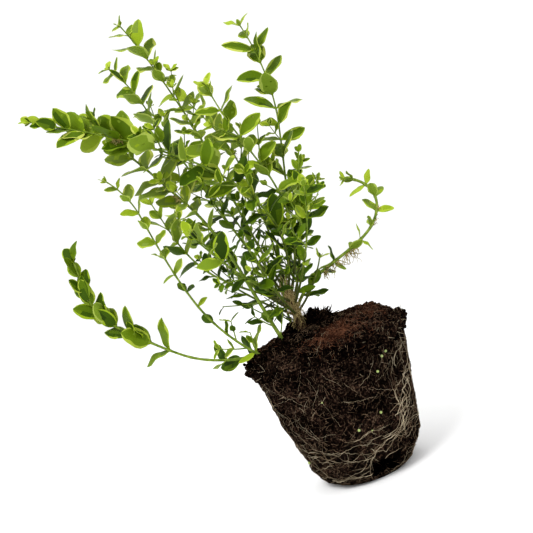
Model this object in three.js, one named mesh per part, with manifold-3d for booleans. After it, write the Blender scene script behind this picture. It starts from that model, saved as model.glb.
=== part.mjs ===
// A young variegated wintercreeper, lifted from its nursery pot and standing on its root ball.
// Millimetres and degrees, +Z up. The origin is the centre of the root ball's flat underside,
// and the plant is seen from the front along +Y.
import * as THREE from "three";
import { mergeVertices } from "three/addons/utils/BufferGeometryUtils.js";
import Module from "manifold-3d";

const wasm = await Module();
wasm.setup();

const CLEARANCE = 0.3;
const SEARCH = 2 * CLEARANCE;
const WELD = 1e-4;
const TIDY = 0.02;

// The root ball: the shape of the pot it grew in, with a crumbling lip and a low mound of compost.
const BALL = {
  sides: 36,
  profile: [
    [0, 0],
    [28, 0],
    [35, 4.5],
    [41, 15],
    [45, 34],
    [49, 58],
    [52.5, 80],
    [54, 87],
    [58, 91.5],
    [58.3, 96.5],
    [51.5, 99],
    [48, 103.5],
    [39, 106],
    [25, 108],
    [11, 109.5],
    [0, 110],
  ],
  lipFrom: 84,
  topFrom: 97,
  lumpRise: 20,
  lump: 1.1,
  lipLump: 2.2,
};
// Heaps on the mound, and the hollows that the pot's raised base left at the lower edge.
const HEAPS = [
  { x: 6, y: 6, spread: 6, height: 6 },
  { x: 33, y: 8, spread: 12, height: 3.5 },
  { x: -16, y: 22, spread: 11, height: 3 },
  { x: 14, y: -26, spread: 10, height: 2 },
];
const HOLLOWS = [
  { x: 9, y: -35, z: 6, spread: 9, depth: 7 },
  { x: 36, y: -6, z: 1, spread: 11, depth: 5 },
];

// The woody crown of the plant, from which most of the shoots fork.
const CROWN = {
  x: -12,
  y: -2,
  top: 143,
  sunk: 1.5,
  flareRadius: 5.4,
  radius: 3.5,
  topRadius: 2.9,
  drift: 1.5,
  forkOffset: 1.7,
  flareHeight: 7,
  rings: 8,
  sides: 8,
};

// Shoots. lean gives the tilt to the right of upright, and depth the tilt to the back, each from
// foot to tip in even steps. bare is how far the limb runs before its leaves begin. A shoot with
// a fork leaves the crown at that height, and any other rises from the compost at its foot.
// radius, leaf length and the chance of side shoots are given where they differ from the rest.
const LEAF_SPACING = 15;
const SHOOTS = [
  {
    name: "tall_left", fork: 141, bare: 40, length: 212,
    lean: [-12, -9, -6, -13, -15, -22], depth: [-6, -2, 4], twigs: 0.2,
  },
  {
    name: "tall_right", fork: 140, bare: 36, length: 192,
    lean: [24, 18, 14, 12, -2, -14], depth: [6, 2], twigs: 0.25,
  },
  {
    name: "centre_right", fork: 136, bare: 34, length: 160,
    lean: [32, 17, -4, -19, -17, -8], depth: [-7, -8],
  },
  {
    name: "centre", fork: 138, bare: 36, length: 168,
    lean: [4, 2, -2, -7, -21, -26], depth: [20, 12],
  },
  {
    name: "upper_left", fork: 134, bare: 44, length: 216,
    lean: [-21, -17, -16, -17, -13, -32], depth: [9, 14],
  },
  {
    name: "long_arching", fork: 139, bare: 42, length: 226,
    lean: [22, 5, -21, -38, -50, -55, -60, -60], depth: [-26, -12], leaf: 21,
  },
  {
    name: "side_left", fork: 129, bare: 30, length: 128,
    lean: [-46, -54, -46, -26, -14, -14], depth: [16, 8],
  },
  {
    name: "right", fork: 131, bare: 24, length: 104,
    lean: [34, 20, 18, 20], depth: [-12, 6],
  },
  {
    name: "back_right", fork: 133, bare: 26, length: 118,
    lean: [24, 14], depth: [40, 46],
  },
  {
    name: "back_left", fork: 126, bare: 26, length: 134,
    lean: [-34, -20], depth: [48, 30],
  },
  {
    name: "front_right", fork: 127, bare: 24, length: 104,
    lean: [24, 18, 6], depth: [-46, -36],
  },
  {
    name: "inner_centre", fork: 124, bare: 18, length: 92,
    lean: [-40, -20], depth: [-20, -8],
  },
  {
    name: "inner_right", fork: 122, bare: 16, length: 42,
    lean: [54, 28], depth: [-10, 8], twigs: 0,
  },
  {
    name: "inner_front", fork: 121, bare: 18, length: 86,
    lean: [-14, -8], depth: [-56, -22],
  },
  {
    name: "inner_back", fork: 121, bare: 18, length: 100,
    lean: [-10, -12], depth: [46, 18],
  },
  {
    name: "inner_left", fork: 121, bare: 20, length: 82,
    lean: [-50, -28], depth: [34, 12],
  },
  {
    name: "back_runner", fork: 127, bare: 30, length: 132,
    lean: [20, 0, -16], depth: [72, 34],
  },
  {
    name: "front_runner", fork: 131, bare: 28, length: 116,
    lean: [-20, -24, -20], depth: [-66, -38],
  },
  {
    name: "front_thick", foot: [-27, -15], bare: 36, length: 176,
    lean: [-12, -11, -11, -17, -28, -29, -34], depth: [-4, -10], radius: 1.7, leaf: 24,
  },
  {
    name: "front_left", foot: [-42, -20], bare: 26, length: 162,
    lean: [-44, -31, -16, -10, -8, -40], depth: [-10, -6],
  },
  {
    name: "left_runner", foot: [-41, -8], bare: 36, length: 164,
    lean: [-86, -78, -66, -50, -46, -46, -24, 0, 0], depth: [-4, 0], radius: 1.3, twigs: 0,
  },
  {
    name: "right_runner", foot: [-18, 5], bare: 44, length: 147,
    lean: [14, 34, 58, 72, 72, 60, 28, -30, -78], depth: [2, 0], radius: 1.5, twigs: 0,
  },
  {
    name: "back", foot: [-18, 18], bare: 34, length: 150,
    lean: [0, -12, -20], depth: [26, 18],
  },
];
const SHOOT_RADIUS = 1.15;
const TIP_SHARE = 0.45;
const LEAF_LENGTH = 19;
const LIMB_STEP = 11;
const LIMB_SIDES = 6;
const STEM_SIDES = 3;
const FOOT_SUNK = 2;
const FIRST_SEED = 59;
const SEED_STEP = 47;

// Leaves stand in pairs, each pair a quarter turn from the last, smaller towards the tip.
const LEAF = {
  widthShare: 0.6,
  widest: 0.46,
  rise: 0.06,
  sunk: 0.15,
  angle: 58,
  angleSpread: 18,
  turnSpread: 60,
  twist: 1.3,
  lift: 0.25,
  lightShare: 0.4,
  youngest: 0.36,
  youngPairs: 5,
};
// Side shoots in the leaf axils of the lower part.
const TWIG = {
  chance: 0.42,
  below: 0.75,
  length: 26,
  pairs: 2,
  radius: 0.55,
  angle: 42,
  lift: 0.2,
  endShare: 0.03,
  leafShare: 0.62,
};

const rad = THREE.MathUtils.degToRad;
const lerp = THREE.MathUtils.lerp;
const smoothstep = THREE.MathUtils.smoothstep;
const BACKWARD = new THREE.Vector3(0, 1, 0);
const UPWARD = new THREE.Vector3(0, 0, 1);

// A repeatable stream of numbers from 0 to 1.
const STREAM_FACTOR = 48271;
const STREAM_SIZE = 2147483647;
function numberStream(seed) {
  let state = seed;
  return () => {
    state = (state * STREAM_FACTOR) % STREAM_SIZE;
    return state / STREAM_SIZE;
  };
}

// A closed mesh as a solid, and a solid as a geometry.
function solidFrom(geometry) {
  const bare = geometry.clone();
  bare.deleteAttribute("normal");
  bare.deleteAttribute("uv");
  const welded = mergeVertices(bare, WELD);
  return new wasm.Manifold(
    new wasm.Mesh({
      numProp: 3,
      vertProperties: welded.attributes.position.array,
      triVerts: new Uint32Array(welded.index.array),
    }),
  );
}

function geometryFrom(solid) {
  const mesh = solid.getMesh();
  const geometry = new THREE.BufferGeometry();
  geometry.setAttribute("position", new THREE.BufferAttribute(mesh.vertProperties, 3));
  geometry.setIndex(new THREE.BufferAttribute(mesh.triVerts, 1));
  return geometry;
}

// Two directions square to a stem, the first near the plane of the front view.
function crossAxes(along) {
  const across = new THREE.Vector3().crossVectors(BACKWARD, along).normalize();
  const over = new THREE.Vector3().crossVectors(along, across).normalize();
  return { across, over };
}

// A tapering limb through the points of a path, with a flat cut at each end.
function limb(path, radii, sides) {
  const positions = [];
  path.forEach((point, i) => {
    const before = path[Math.max(i - 1, 0)];
    const after = path[Math.min(i + 1, path.length - 1)];
    const along = new THREE.Vector3().subVectors(after, before).normalize();
    const { across, over } = crossAxes(along);
    for (let k = 0; k < sides; k += 1) {
      const turn = (2 * Math.PI * k) / sides;
      const corner = point.clone();
      corner.addScaledVector(across, radii[i] * Math.cos(turn));
      corner.addScaledVector(over, radii[i] * Math.sin(turn));
      positions.push(...corner.toArray());
    }
  });
  const faces = [];
  const last = (path.length - 1) * sides;
  for (let i = 0; i < last; i += sides) {
    for (let k = 0; k < sides; k += 1) {
      const next = (k + 1) % sides;
      faces.push(i + k, i + next, i + sides + next);
      faces.push(i + k, i + sides + next, i + sides + k);
    }
  }
  for (let k = 1; k < sides - 1; k += 1) {
    faces.push(0, k + 1, k);
    faces.push(last, last + k, last + k + 1);
  }
  const geometry = new THREE.BufferGeometry();
  geometry.setAttribute("position", new THREE.Float32BufferAttribute(positions, 3));
  geometry.setIndex(faces);
  return solidFrom(geometry);
}

// The root ball
function heapHeight(x, y) {
  return HEAPS.reduce((sum, heap) => {
    const away = Math.hypot(x - heap.x, y - heap.y) / heap.spread;
    return sum + heap.height * Math.exp(-away * away);
  }, 0);
}

function lumps(turn, height) {
  const slow = Math.sin(3 * turn + 0.6 + height / 21) + 0.7 * Math.sin(5 * turn + 2.1 - height / 13);
  const quick = Math.sin(11 * turn + height / 5) + Math.sin(8 * turn - height / 7 + 1.3);
  return 0.6 * slow + 0.4 * quick;
}

function ballPoint(x, y, z) {
  const reach = Math.hypot(x, y);
  const turn = Math.atan2(y, x);
  const rough = lerp(BALL.lump, BALL.lipLump, smoothstep(z, BALL.lipFrom, BALL.lipFrom + 8));
  const share = smoothstep(z, 0, BALL.lumpRise) * smoothstep(reach, 8, 40);
  const wide = reach + rough * share * lumps(turn, z);
  const point = new THREE.Vector3(wide * Math.cos(turn), wide * Math.sin(turn), z);
  const top = smoothstep(z, BALL.topFrom, BALL.topFrom + 8);
  point.z += top * heapHeight(point.x, point.y);
  const inward = HOLLOWS.reduce((sum, hollow) => {
    const away = point.distanceTo(new THREE.Vector3(hollow.x, hollow.y, hollow.z)) / hollow.spread;
    return sum + hollow.depth * Math.exp(-away * away);
  }, 0);
  const scale = z > 0 && reach > 0 ? 1 - inward / reach : 1;
  point.x *= scale;
  point.y *= scale;
  return point;
}

function ballSolid() {
  const profile = BALL.profile.map(([radius, height]) => new THREE.Vector2(radius, height));
  const lathe = new THREE.LatheGeometry(profile, BALL.sides).rotateX(Math.PI / 2);
  const spots = lathe.attributes.position;
  for (let i = 0; i < spots.count; i += 1) {
    const moved = ballPoint(spots.getX(i), spots.getY(i), spots.getZ(i));
    spots.setXYZ(i, moved.x, moved.y, moved.z);
  }
  const solid = solidFrom(lathe);
  return solid.volume() > 0 ? solid : solid.mirror([1, 0, 0]);
}

// The height of the compost at a place, read from the ball's own solid.
function soilHeight(ball, x, y) {
  const needle = limb([new THREE.Vector3(x, y, 80), new THREE.Vector3(x, y, 200)], [0.2, 0.2], 3);
  return needle.intersect(ball).boundingBox().max[2];
}

// The path of a shoot, one point a step, and its heading at a share of its length.
function blend(values, share) {
  const place = share * (values.length - 1);
  const low = Math.min(Math.floor(place), values.length - 2);
  return lerp(values[low], values[low + 1], place - low);
}

function heading(shoot, share) {
  const lean = rad(blend(shoot.lean, share));
  const depth = rad(blend(shoot.depth, share));
  const upright = Math.cos(lean);
  return new THREE.Vector3(Math.sin(lean), Math.sin(depth) * upright, Math.cos(depth) * upright);
}

// The point of a shoot at a distance from its foot, by even steps of its heading.
const PATH_STEPS = 120;
function shootTrace(shoot, foot) {
  const step = shoot.length / PATH_STEPS;
  const trace = [foot.clone()];
  for (let i = 0; i < PATH_STEPS; i += 1) {
    const next = trace[i].clone().addScaledVector(heading(shoot, (i + 0.5) / PATH_STEPS), step);
    trace.push(next);
  }
  return trace;
}

function pointAt(shoot, trace, distance) {
  const place = (distance / shoot.length) * PATH_STEPS;
  const low = THREE.MathUtils.clamp(Math.floor(place), 0, PATH_STEPS - 1);
  return trace[low].clone().lerp(trace[low + 1], place - low);
}

function shootRadius(shoot, distance) {
  const thick = shoot.radius ?? SHOOT_RADIUS;
  return thick * lerp(1, TIP_SHARE, distance / shoot.length);
}

function stemThrough(shoot, trace, distances, sides, extra = 0) {
  const path = distances.map((distance) => pointAt(shoot, trace, distance));
  const radii = distances.map((distance) => shootRadius(shoot, distance) + extra);
  return limb(path, radii, sides);
}

function evenSteps(from, to) {
  const count = Math.max(1, Math.round((to - from) / LIMB_STEP));
  return Array.from({ length: count + 1 }, (_, i) => lerp(from, to, i / count));
}

// A leaf: a folded blade of four faces, its root sunk in the stem
const BLADE_CORNERS = [
  [0, 0, 0],
  [1, 0, 0],
  [LEAF.widest, LEAF.widthShare / 2, LEAF.rise],
  [LEAF.widest, -LEAF.widthShare / 2, LEAF.rise],
];
const BLADE_FACES = [0, 3, 2, 1, 2, 3, 0, 2, 1, 0, 1, 3];

function leafSolid(leaf) {
  const side = new THREE.Vector3().crossVectors(leaf.face, leaf.along).normalize();
  const blade = new THREE.BufferGeometry();
  blade.setAttribute("position", new THREE.Float32BufferAttribute(BLADE_CORNERS.flat(), 3));
  blade.setIndex(BLADE_FACES);
  blade.scale(leaf.length, leaf.length, leaf.length);
  const place = new THREE.Matrix4().makeBasis(leaf.along, side, leaf.face);
  place.setPosition(leaf.root.clone().addScaledVector(leaf.along, -LEAF.sunk));
  return solidFrom(blade.applyMatrix4(place));
}

// The direction that opens from a stem by an angle, at a turn about it
function opening(along, turn, angle) {
  const { across, over } = crossAxes(along);
  const out = across.multiplyScalar(Math.cos(turn)).addScaledVector(over, Math.sin(turn));
  return {
    ahead: out.clone().multiplyScalar(Math.sin(angle)).addScaledVector(along, Math.cos(angle)),
    upper: out.clone().multiplyScalar(-Math.cos(angle)).addScaledVector(along, Math.sin(angle)),
  };
}

// One leaf of a pair at a node of a stem, its upper face turned towards the light
function leafAt(root, along, turn, angle, length, tilt) {
  const { ahead, upper } = opening(along, turn, angle);
  ahead.addScaledVector(UPWARD, LEAF.lift).normalize();
  const face = upper.addScaledVector(UPWARD, LEAF.lightShare).addScaledVector(BACKWARD, tilt);
  face.addScaledVector(ahead, -face.dot(ahead)).normalize();
  return { root, along: ahead, face, length };
}

// The leaf pairs and side shoots of a leafy stem, worked out before anything is placed.
function growthPlan(shoot, trace, seed) {
  const next = numberStream(seed);
  const size = shoot.leaf ?? LEAF_LENGTH;
  const nodes = [];
  let reached = shoot.bare + 6;
  while (reached < shoot.length - 4) {
    nodes.push(reached);
    reached += LEAF_SPACING * lerp(0.85, 1.15, next()) * lerp(1, 0.62, reached / shoot.length);
  }
  nodes.push(shoot.length - 1);
  const start = 2 * Math.PI * next();
  return nodes.map((distance, i) => {
    const share = distance / shoot.length;
    const young = lerp(LEAF.youngest, 1, Math.min(1, (nodes.length - 1 - i) / LEAF.youngPairs));
    const turn = start + (i * Math.PI) / 2;
    const along = heading(shoot, share);
    const root = pointAt(shoot, trace, distance);
    const leaves = [0, Math.PI].map((half) => {
      const swing = rad(LEAF.turnSpread) * (next() - 0.5);
      const angle = rad(LEAF.angle * lerp(0.6, 1, young) + LEAF.angleSpread * (next() - 0.5) * 2);
      const length = size * young * lerp(0.78, 1.15, next());
      return leafAt(root, along, turn + half + swing, angle, length, LEAF.twist * (next() - 0.5));
    });
    const grows = next() < (shoot.twigs ?? TWIG.chance) && share < TWIG.below;
    const twigTurn = turn + (next() < 0.5 ? 0 : Math.PI) + 0.5;
    const twigLength = TWIG.length * lerp(0.7, 1.25, next());
    const twig = grows ? twigPlan(root, along, twigTurn, twigLength, size * TWIG.leafShare, next) : null;
    return { distance, leaves, twig };
  });
}

function twigPlan(root, along, turn, length, leafLength, next) {
  const way = opening(along, turn, rad(TWIG.angle)).ahead.addScaledVector(UPWARD, TWIG.lift).normalize();
  const tip = root.clone().addScaledVector(way, length);
  const leaves = [];
  for (let pair = 1; pair <= TWIG.pairs; pair += 1) {
    const spot = root.clone().lerp(tip, pair / TWIG.pairs - TWIG.endShare);
    const spin = turn + (pair * Math.PI) / 2 + next();
    [0, Math.PI].forEach((half) => {
      const open = rad(LEAF.angle * 0.85 + LEAF.angleSpread * (next() - 0.5));
      const size = leafLength * lerp(1, 0.7, pair / TWIG.pairs) * lerp(0.8, 1.15, next());
      const leaf = leafAt(spot, way, spin + half, open, size, LEAF.twist * (next() - 0.5));
      leaves.push({ pair, leaf });
    });
  }
  return { path: [root, root.clone().lerp(tip, 0.5), tip], leaves };
}

// What is already placed, so that each later leaf or twig keeps clear of it
const placed = [];
const boxesMeet = (a, b) =>
  [0, 1, 2].every((k) => a.min[k] - CLEARANCE < b.max[k] && b.min[k] - CLEARANCE < a.max[k]);

function place(solid, owner) {
  placed.push({ solid, owner, box: solid.boundingBox() });
}

function clearOfOthers(solid, relatives) {
  const box = solid.boundingBox();
  return placed.every(
    (other) =>
      relatives.includes(other.owner) ||
      !boxesMeet(box, other.box) ||
      solid.minGap(other.solid, SEARCH) >= CLEARANCE,
  );
}

// The crown's stub of old wood, flared where it meets the compost
function crownPoint(height, foot) {
  const share = Math.max(0, (height - foot) / (CROWN.top - foot));
  return new THREE.Vector3(CROWN.x - CROWN.drift * share, CROWN.y, height);
}

function crownSolid(foot, extra) {
  const path = [];
  const radii = [];
  for (let i = 0; i < CROWN.rings; i += 1) {
    const height = lerp(foot - extra, CROWN.top + extra, (i / (CROWN.rings - 1)) ** 1.4);
    const flare = Math.exp((-2 * (height - foot)) / CROWN.flareHeight);
    const plain = lerp(CROWN.radius, CROWN.topRadius, (height - foot) / (CROWN.top - foot));
    path.push(crownPoint(height, foot));
    radii.push(plain + (CROWN.flareRadius - CROWN.radius) * flare + extra);
  }
  return limb(path, radii, CROWN.sides);
}

// Where a shoot starts: on the crown, to the side that it leaves by, or in the compost
function shootFoot(shoot, ball, crownFoot) {
  if (!shoot.fork) {
    return new THREE.Vector3(...shoot.foot, soilHeight(ball, ...shoot.foot) - FOOT_SUNK);
  }
  const side = heading(shoot, 0).setZ(0).normalize();
  return crownPoint(shoot.fork, crownFoot).addScaledVector(side, CROWN.forkOffset);
}

// A limb cut back clear of the crown
function cutClear(bough, crownRoom) {
  const pieces = bough.subtract(crownRoom).decompose();
  return pieces.sort((a, b) => b.volume() - a.volume())[0];
}

// One shoot's bare limb and leafy stem, with the plan of what grows on the stem
function growShoot(shoot, index, ball, crownFoot, crownRoom) {
  const trace = shootTrace(shoot, shootFoot(shoot, ball, crownFoot));
  const limbSolid = stemThrough(shoot, trace, evenSteps(0, shoot.bare), LIMB_SIDES);
  const bough = shoot.fork ? cutClear(limbSolid, crownRoom) : limbSolid;
  const room = CLEARANCE / Math.cos(Math.PI / LIMB_SIDES);
  const socket = stemThrough(shoot, trace, evenSteps(-CLEARANCE, shoot.bare), LIMB_SIDES, room);
  const plan = growthPlan(shoot, trace, FIRST_SEED + SEED_STEP * index);
  const start = shoot.bare + 1.4 * CLEARANCE;
  const stops = [start, ...plan.map((node) => node.distance), shoot.length];
  const stem = stemThrough(shoot, trace, stops, STEM_SIDES);
  place(bough, `${shoot.name}_bough`);
  place(stem, shoot.name);
  return { shoot, bough, stem, plan, socket: shoot.fork ? null : socket };
}

// The mass of one shoot: its stem with every leaf and side shoot that is clear of the others
function foliageSolid({ shoot, stem, plan }) {
  const pieces = [stem];
  const add = (solid, owner, relatives) => {
    if (!clearOfOthers(solid, relatives)) return false;
    place(solid, owner);
    pieces.push(solid);
    return true;
  };
  plan.forEach(({ leaves, twig }, index) => {
    const node = `${shoot.name}/${index}`;
    leaves.forEach((leaf) => add(leafSolid(leaf), node, [shoot.name, node]));
    if (!twig) return;
    const radii = [TWIG.radius, TWIG.radius * 0.85, TWIG.radius * 0.7];
    if (!add(limb(twig.path, radii, STEM_SIDES), node, [shoot.name, node])) return;
    twig.leaves.forEach(({ pair, leaf }) => {
      const whorl = `${node}/${pair}`;
      add(leafSolid(leaf), whorl, [node, whorl]);
    });
  });
  return wasm.Manifold.union(pieces);
}

const COLOURS = {
  compost: { color: 0x2a1d17, roughness: 0.95, metalness: 0 },
  wood: { color: 0x7d6447, roughness: 0.85, metalness: 0 },
  greenStem: { color: 0x6f8f35, roughness: 0.55, metalness: 0 },
  leaf: { color: 0x6d9a2f, roughness: 0.45, metalness: 0 },
};

function addNode(group, name, solid, colour) {
  const geometry = geometryFrom(solid.asOriginal().simplify(TIDY));
  const mesh = new THREE.Mesh(geometry, new THREE.MeshStandardMaterial(COLOURS[colour]));
  mesh.name = name;
  group.add(mesh);
}

function buildPlant() {
  const plant = new THREE.Group();
  const ball = ballSolid();
  const crownFoot = soilHeight(ball, CROWN.x, CROWN.y) - CROWN.sunk;
  const crown = crownSolid(crownFoot, 0);
  const crownRoom = crownSolid(crownFoot, CLEARANCE * 1.1);
  place(crown, "woody_crown");
  const shoots = SHOOTS.map((shoot, index) => growShoot(shoot, index, ball, crownFoot, crownRoom));
  const rooms = [crownRoom, ...shoots.map((entry) => entry.socket).filter(Boolean)];
  const footed = rooms.reduce((rest, room) => rest.subtract(room), ball);
  place(footed, "root_ball");
  addNode(plant, "root_ball", footed, "compost");
  addNode(plant, "woody_crown", crown, "wood");
  shoots.forEach((entry) => {
    addNode(plant, `${entry.shoot.name}_bough`, entry.bough, "greenStem");
    addNode(plant, `${entry.shoot.name}_foliage`, foliageSolid(entry), "leaf");
  });
  return plant;
}

export default buildPlant();
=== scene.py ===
"""A young variegated wintercreeper on its bare root ball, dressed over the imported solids."""
import math

import bpy
import numpy as np
from mathutils import Matrix, Vector, noise


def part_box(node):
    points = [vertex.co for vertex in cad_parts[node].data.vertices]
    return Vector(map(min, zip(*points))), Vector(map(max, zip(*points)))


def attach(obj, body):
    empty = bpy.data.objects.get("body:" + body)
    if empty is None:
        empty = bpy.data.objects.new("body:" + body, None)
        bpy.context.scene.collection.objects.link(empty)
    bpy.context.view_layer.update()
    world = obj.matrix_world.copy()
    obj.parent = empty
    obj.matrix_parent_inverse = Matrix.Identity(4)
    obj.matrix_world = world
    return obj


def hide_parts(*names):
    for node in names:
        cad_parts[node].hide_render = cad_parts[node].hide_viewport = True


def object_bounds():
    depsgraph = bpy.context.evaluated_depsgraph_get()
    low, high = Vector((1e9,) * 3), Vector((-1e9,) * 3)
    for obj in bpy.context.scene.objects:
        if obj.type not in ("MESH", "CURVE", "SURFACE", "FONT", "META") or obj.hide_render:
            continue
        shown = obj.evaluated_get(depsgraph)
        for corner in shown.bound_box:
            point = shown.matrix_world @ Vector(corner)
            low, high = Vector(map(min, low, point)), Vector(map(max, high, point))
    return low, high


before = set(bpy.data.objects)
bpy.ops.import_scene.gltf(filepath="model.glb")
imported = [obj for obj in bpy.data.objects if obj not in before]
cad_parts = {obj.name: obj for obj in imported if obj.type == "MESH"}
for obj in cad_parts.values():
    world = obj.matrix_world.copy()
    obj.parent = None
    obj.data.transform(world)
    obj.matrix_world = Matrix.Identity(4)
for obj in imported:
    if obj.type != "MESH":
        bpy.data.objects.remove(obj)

bl_info = {
    "name": "Variegated wintercreeper",
    "version": (1, 0, 0),
    "blender": (4, 5, 0),
    "location": "View3D > Sidebar > Wintercreeper",
    "description": "Builds a young variegated wintercreeper standing on its root ball",
    "category": "Add Mesh",
}

CAD_LOW, CAD_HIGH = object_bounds()
BODY = "root"
MM = 0.001
TURN = 2 * math.pi
PAIR = (0, math.pi)
UPWARD = Vector((0, 0, 1))
BACKWARD = Vector((0, 1, 0))

# What a shoot is like where its own line doesn't say otherwise
USUAL_SHOOT = {
    "fork": None, "foot": None, "radius": 1.15, "leaf": 19.0, "twigs": 0.42, "crowded": 1.0,
    "open_side": False, "small": 1.0, "dark": 0.0, "tip": 0.45, "first": 0, "slim": 1.0,
    "pale": False, "lift": 0.12, "tender": 0.36,
}


# Shoots, as the solids have them: lengths in millimetres, lean and depth in degrees from foot to tip
def shoot(name, length, bare, lean, depth, **special):
    """One shoot, which forks from the crown at a height or rises from the compost at its foot.
    Past the share crowded its leaves stand closer. One with an open side shows no side shoots,
    small makes its leaves smaller, slim makes them narrower, and dark is the share of its leaves
    with a dark middle. tip is the share of its thickness that is left at the tip. Its leaves are
    lost up to first, and one that is pale has soft new leaves past its middle. lift is how far its
    leaves turn upwards, and tender how grown the last of its close leaves are."""
    return {"name": name, "length": length, "bare": bare, "lean": lean, "depth": depth,
            **USUAL_SHOOT, **special}


SHOOTS = [
    shoot("tall_left", 212, 40, [-12, -9, -6, -13, -15, -22], [-6, -2, 4], fork=141, twigs=0.2, small=0.92),
    shoot("tall_right", 192, 36, [24, 18, 14, 12, -2, -14], [6, 2], fork=140, twigs=0.25, small=1.14),
    shoot("centre_right", 160, 34, [32, 17, -4, -19, -17, -8], [-7, -8], fork=136),
    shoot("centre", 168, 36, [4, 2, -2, -7, -21, -26], [20, 12], fork=138),
    shoot("upper_left", 216, 44, [-21, -17, -16, -17, -13, -32], [9, 14], fork=134),
    shoot("long_arching", 226, 42, [22, 5, -21, -38, -50, -55, -60, -60], [-26, -12], fork=139,
          leaf=21, crowded=0.7, small=1.16, dark=0.5),
    shoot("side_left", 128, 30, [-46, -54, -46, -26, -14, -14], [16, 8], fork=129),
    shoot("right", 104, 24, [34, 20, 18, 20], [-12, 6], fork=131, crowded=0.5, open_side=True, dark=0.85),
    shoot("back_right", 118, 26, [24, 14], [40, 46], fork=133, small=0.84),
    shoot("back_left", 134, 26, [-34, -20], [48, 30], fork=126),
    shoot("front_right", 104, 24, [24, 18, 6], [-46, -36], fork=127, small=0.78, dark=0.3),
    shoot("inner_centre", 92, 18, [-40, -20], [-20, -8], fork=124),
    shoot("inner_right", 42, 16, [54, 28], [-10, 8], fork=122, twigs=0),
    shoot("inner_front", 86, 18, [-14, -8], [-56, -22], fork=121),
    shoot("inner_back", 100, 18, [-10, -12], [46, 18], fork=121),
    shoot("inner_left", 82, 20, [-50, -28], [34, 12], fork=121),
    shoot("back_runner", 132, 30, [20, 0, -16], [72, 34], fork=127),
    shoot("front_runner", 116, 28, [-20, -24, -20], [-66, -38], fork=131),
    shoot("front_thick", 176, 36, [-12, -11, -11, -17, -28, -29, -34], [-4, -10], foot=(-27, -15),
          radius=1.7, leaf=24),
    shoot("front_left", 162, 26, [-44, -31, -16, -10, -8, -40], [-10, -6], foot=(-42, -20),
          open_side=True, small=0.62),
    shoot("left_runner", 164, 36, [-86, -78, -66, -50, -46, -46, -24, 0, 0], [-4, 0], foot=(-41, -8),
          radius=1.3, twigs=0, crowded=0.5, small=1.1, dark=1.0, tip=0.6, first=58, lift=0.5,
          tender=0.7),
    shoot("right_runner", 147, 44, [14, 34, 58, 72, 72, 60, 28, -30, -78], [2, 0], foot=(-18, 5),
          radius=1.5, twigs=0, small=0.72, tip=0.75, slim=0.72, pale=True),
    shoot("back", 150, 34, [0, -12, -20], [26, 18], foot=(-18, 18)),
]
PATH_STEPS = 120
# Where the random draws start: for each stream of the shoots, its first number and its step from
# shoot to shoot, and for each piece its own number
GROWTH_STREAM, FINER_STREAM, LOSS_STREAM = (59, 47), (1009, 31), (4001, 17)
SEEDS = {"ball": 11, "collars": 37, "crown": 23, "crown_bark": 3, "shoots": 7, "twigs": 9,
         "rootlets": 31, "leaves": 71, "sprays": 500}
LEAF_SPACING = 15
LEAF_SPREAD = 58
SPREAD_SWING = 18
LEAF_TILT = 1.3
TWIG_LENGTH = 26
FOOT_SUNK = 5
# The bare limbs are a little thinner than their solids, with old bark up to a height in
# millimetres, low on the shoots that rise from the compost. Its darker tint is partly
# painted shade on the inner stems.
BARK_SHARE = 0.84
OLD_AND_SHADED_BARK, OLD_AND_SHADED_BARK_LOW = 66, 12
STEM_STEP = 1.5
# The leaf stalks twist, so that a shoot's leaves lie in a flattish spray that faces the light in front
FLATNESS = 0.66
TO_THE_LIGHT = 0.7
EXTRA_SPREAD = math.radians(7)
CLOSE_SET = math.radians(20)
# The shaded lower middle of the plant, where leaves are lost, shorter and more curled, and darker with
# painted shade
SHADE_MIDDLE = (-30, 0, 160)
SHADE_REACH = (50, 85, 60)
SHADE_SHORTENS = 0.14
LOST_SHARE = 0.66
# Between these heights the share of lost leaves falls by half
OPEN_BELOW = (145, 190)
# Before the crown's foot no leaf hangs, and right above the crown few leaves are lost
OPEN_WIDTH, OPEN_DEPTH, OPEN_HEIGHT = 12, 2, 145
ABOVE_CROWN_WIDTH, ABOVE_CROWN_DEPTH, ABOVE_CROWN_LOST = 18, 20, 0.35

# The crown and the root ball, in millimetres
CROWN_X, CROWN_Y, CROWN_TOP, CROWN_DRIFT, FORK_OFFSET = -12, -2, 143, 1.5, 1.7
CROWN_RADII, CROWN_FLARE = (3.1, 2.6), 1.5
BALL_PROFILE = [
    (28, 0), (35, 4.5), (41, 15), (45, 34), (49, 58), (52.5, 80), (54, 87), (58, 91.5),
    (58.3, 96.5), (51.5, 99), (48, 103.5), (39, 106), (25, 108), (11, 109.5), (0.4, 110),
]
HEAPS = [(6, 6, 6, 6), (33, 8, 12, 3.5), (-16, 22, 11, 3), (14, -26, 10, 2)]
HOLLOWS = [(9, -35, 6, 9, 7), (36, -6, 1, 11, 5)]


def clamp(value, low, high):
    """A value kept between two others."""
    return max(low, min(high, value))


def mix(low, high, share):
    """The value at a share of the way between two others."""
    return low + (high - low) * share


def smoothstep(value, low, high):
    """A soft step from 0 to 1 between two values."""
    share = clamp((value - low) / (high - low), 0.0, 1.0)
    return share * share * (3 - 2 * share)


def number_stream(first, step, index):
    """A repeatable stream of numbers from 0 to 1 for one shoot, the same as the solids use."""
    state = first + step * index
    while True:
        state = (state * 48271) % 2147483647
        yield state / 2147483647


# The growth rule
def blend(values, share):
    """The value at a share of the way along evenly spaced values."""
    place = share * (len(values) - 1)
    low = min(int(math.floor(place)), len(values) - 2)
    return mix(values[low], values[low + 1], place - low)


def heading(plan, share):
    """The direction of a shoot at a share of its length."""
    lean = math.radians(blend(plan["lean"], share))
    depth = math.radians(blend(plan["depth"], share))
    upright = math.cos(lean)
    return Vector((math.sin(lean), math.sin(depth) * upright, math.cos(depth) * upright))


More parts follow.
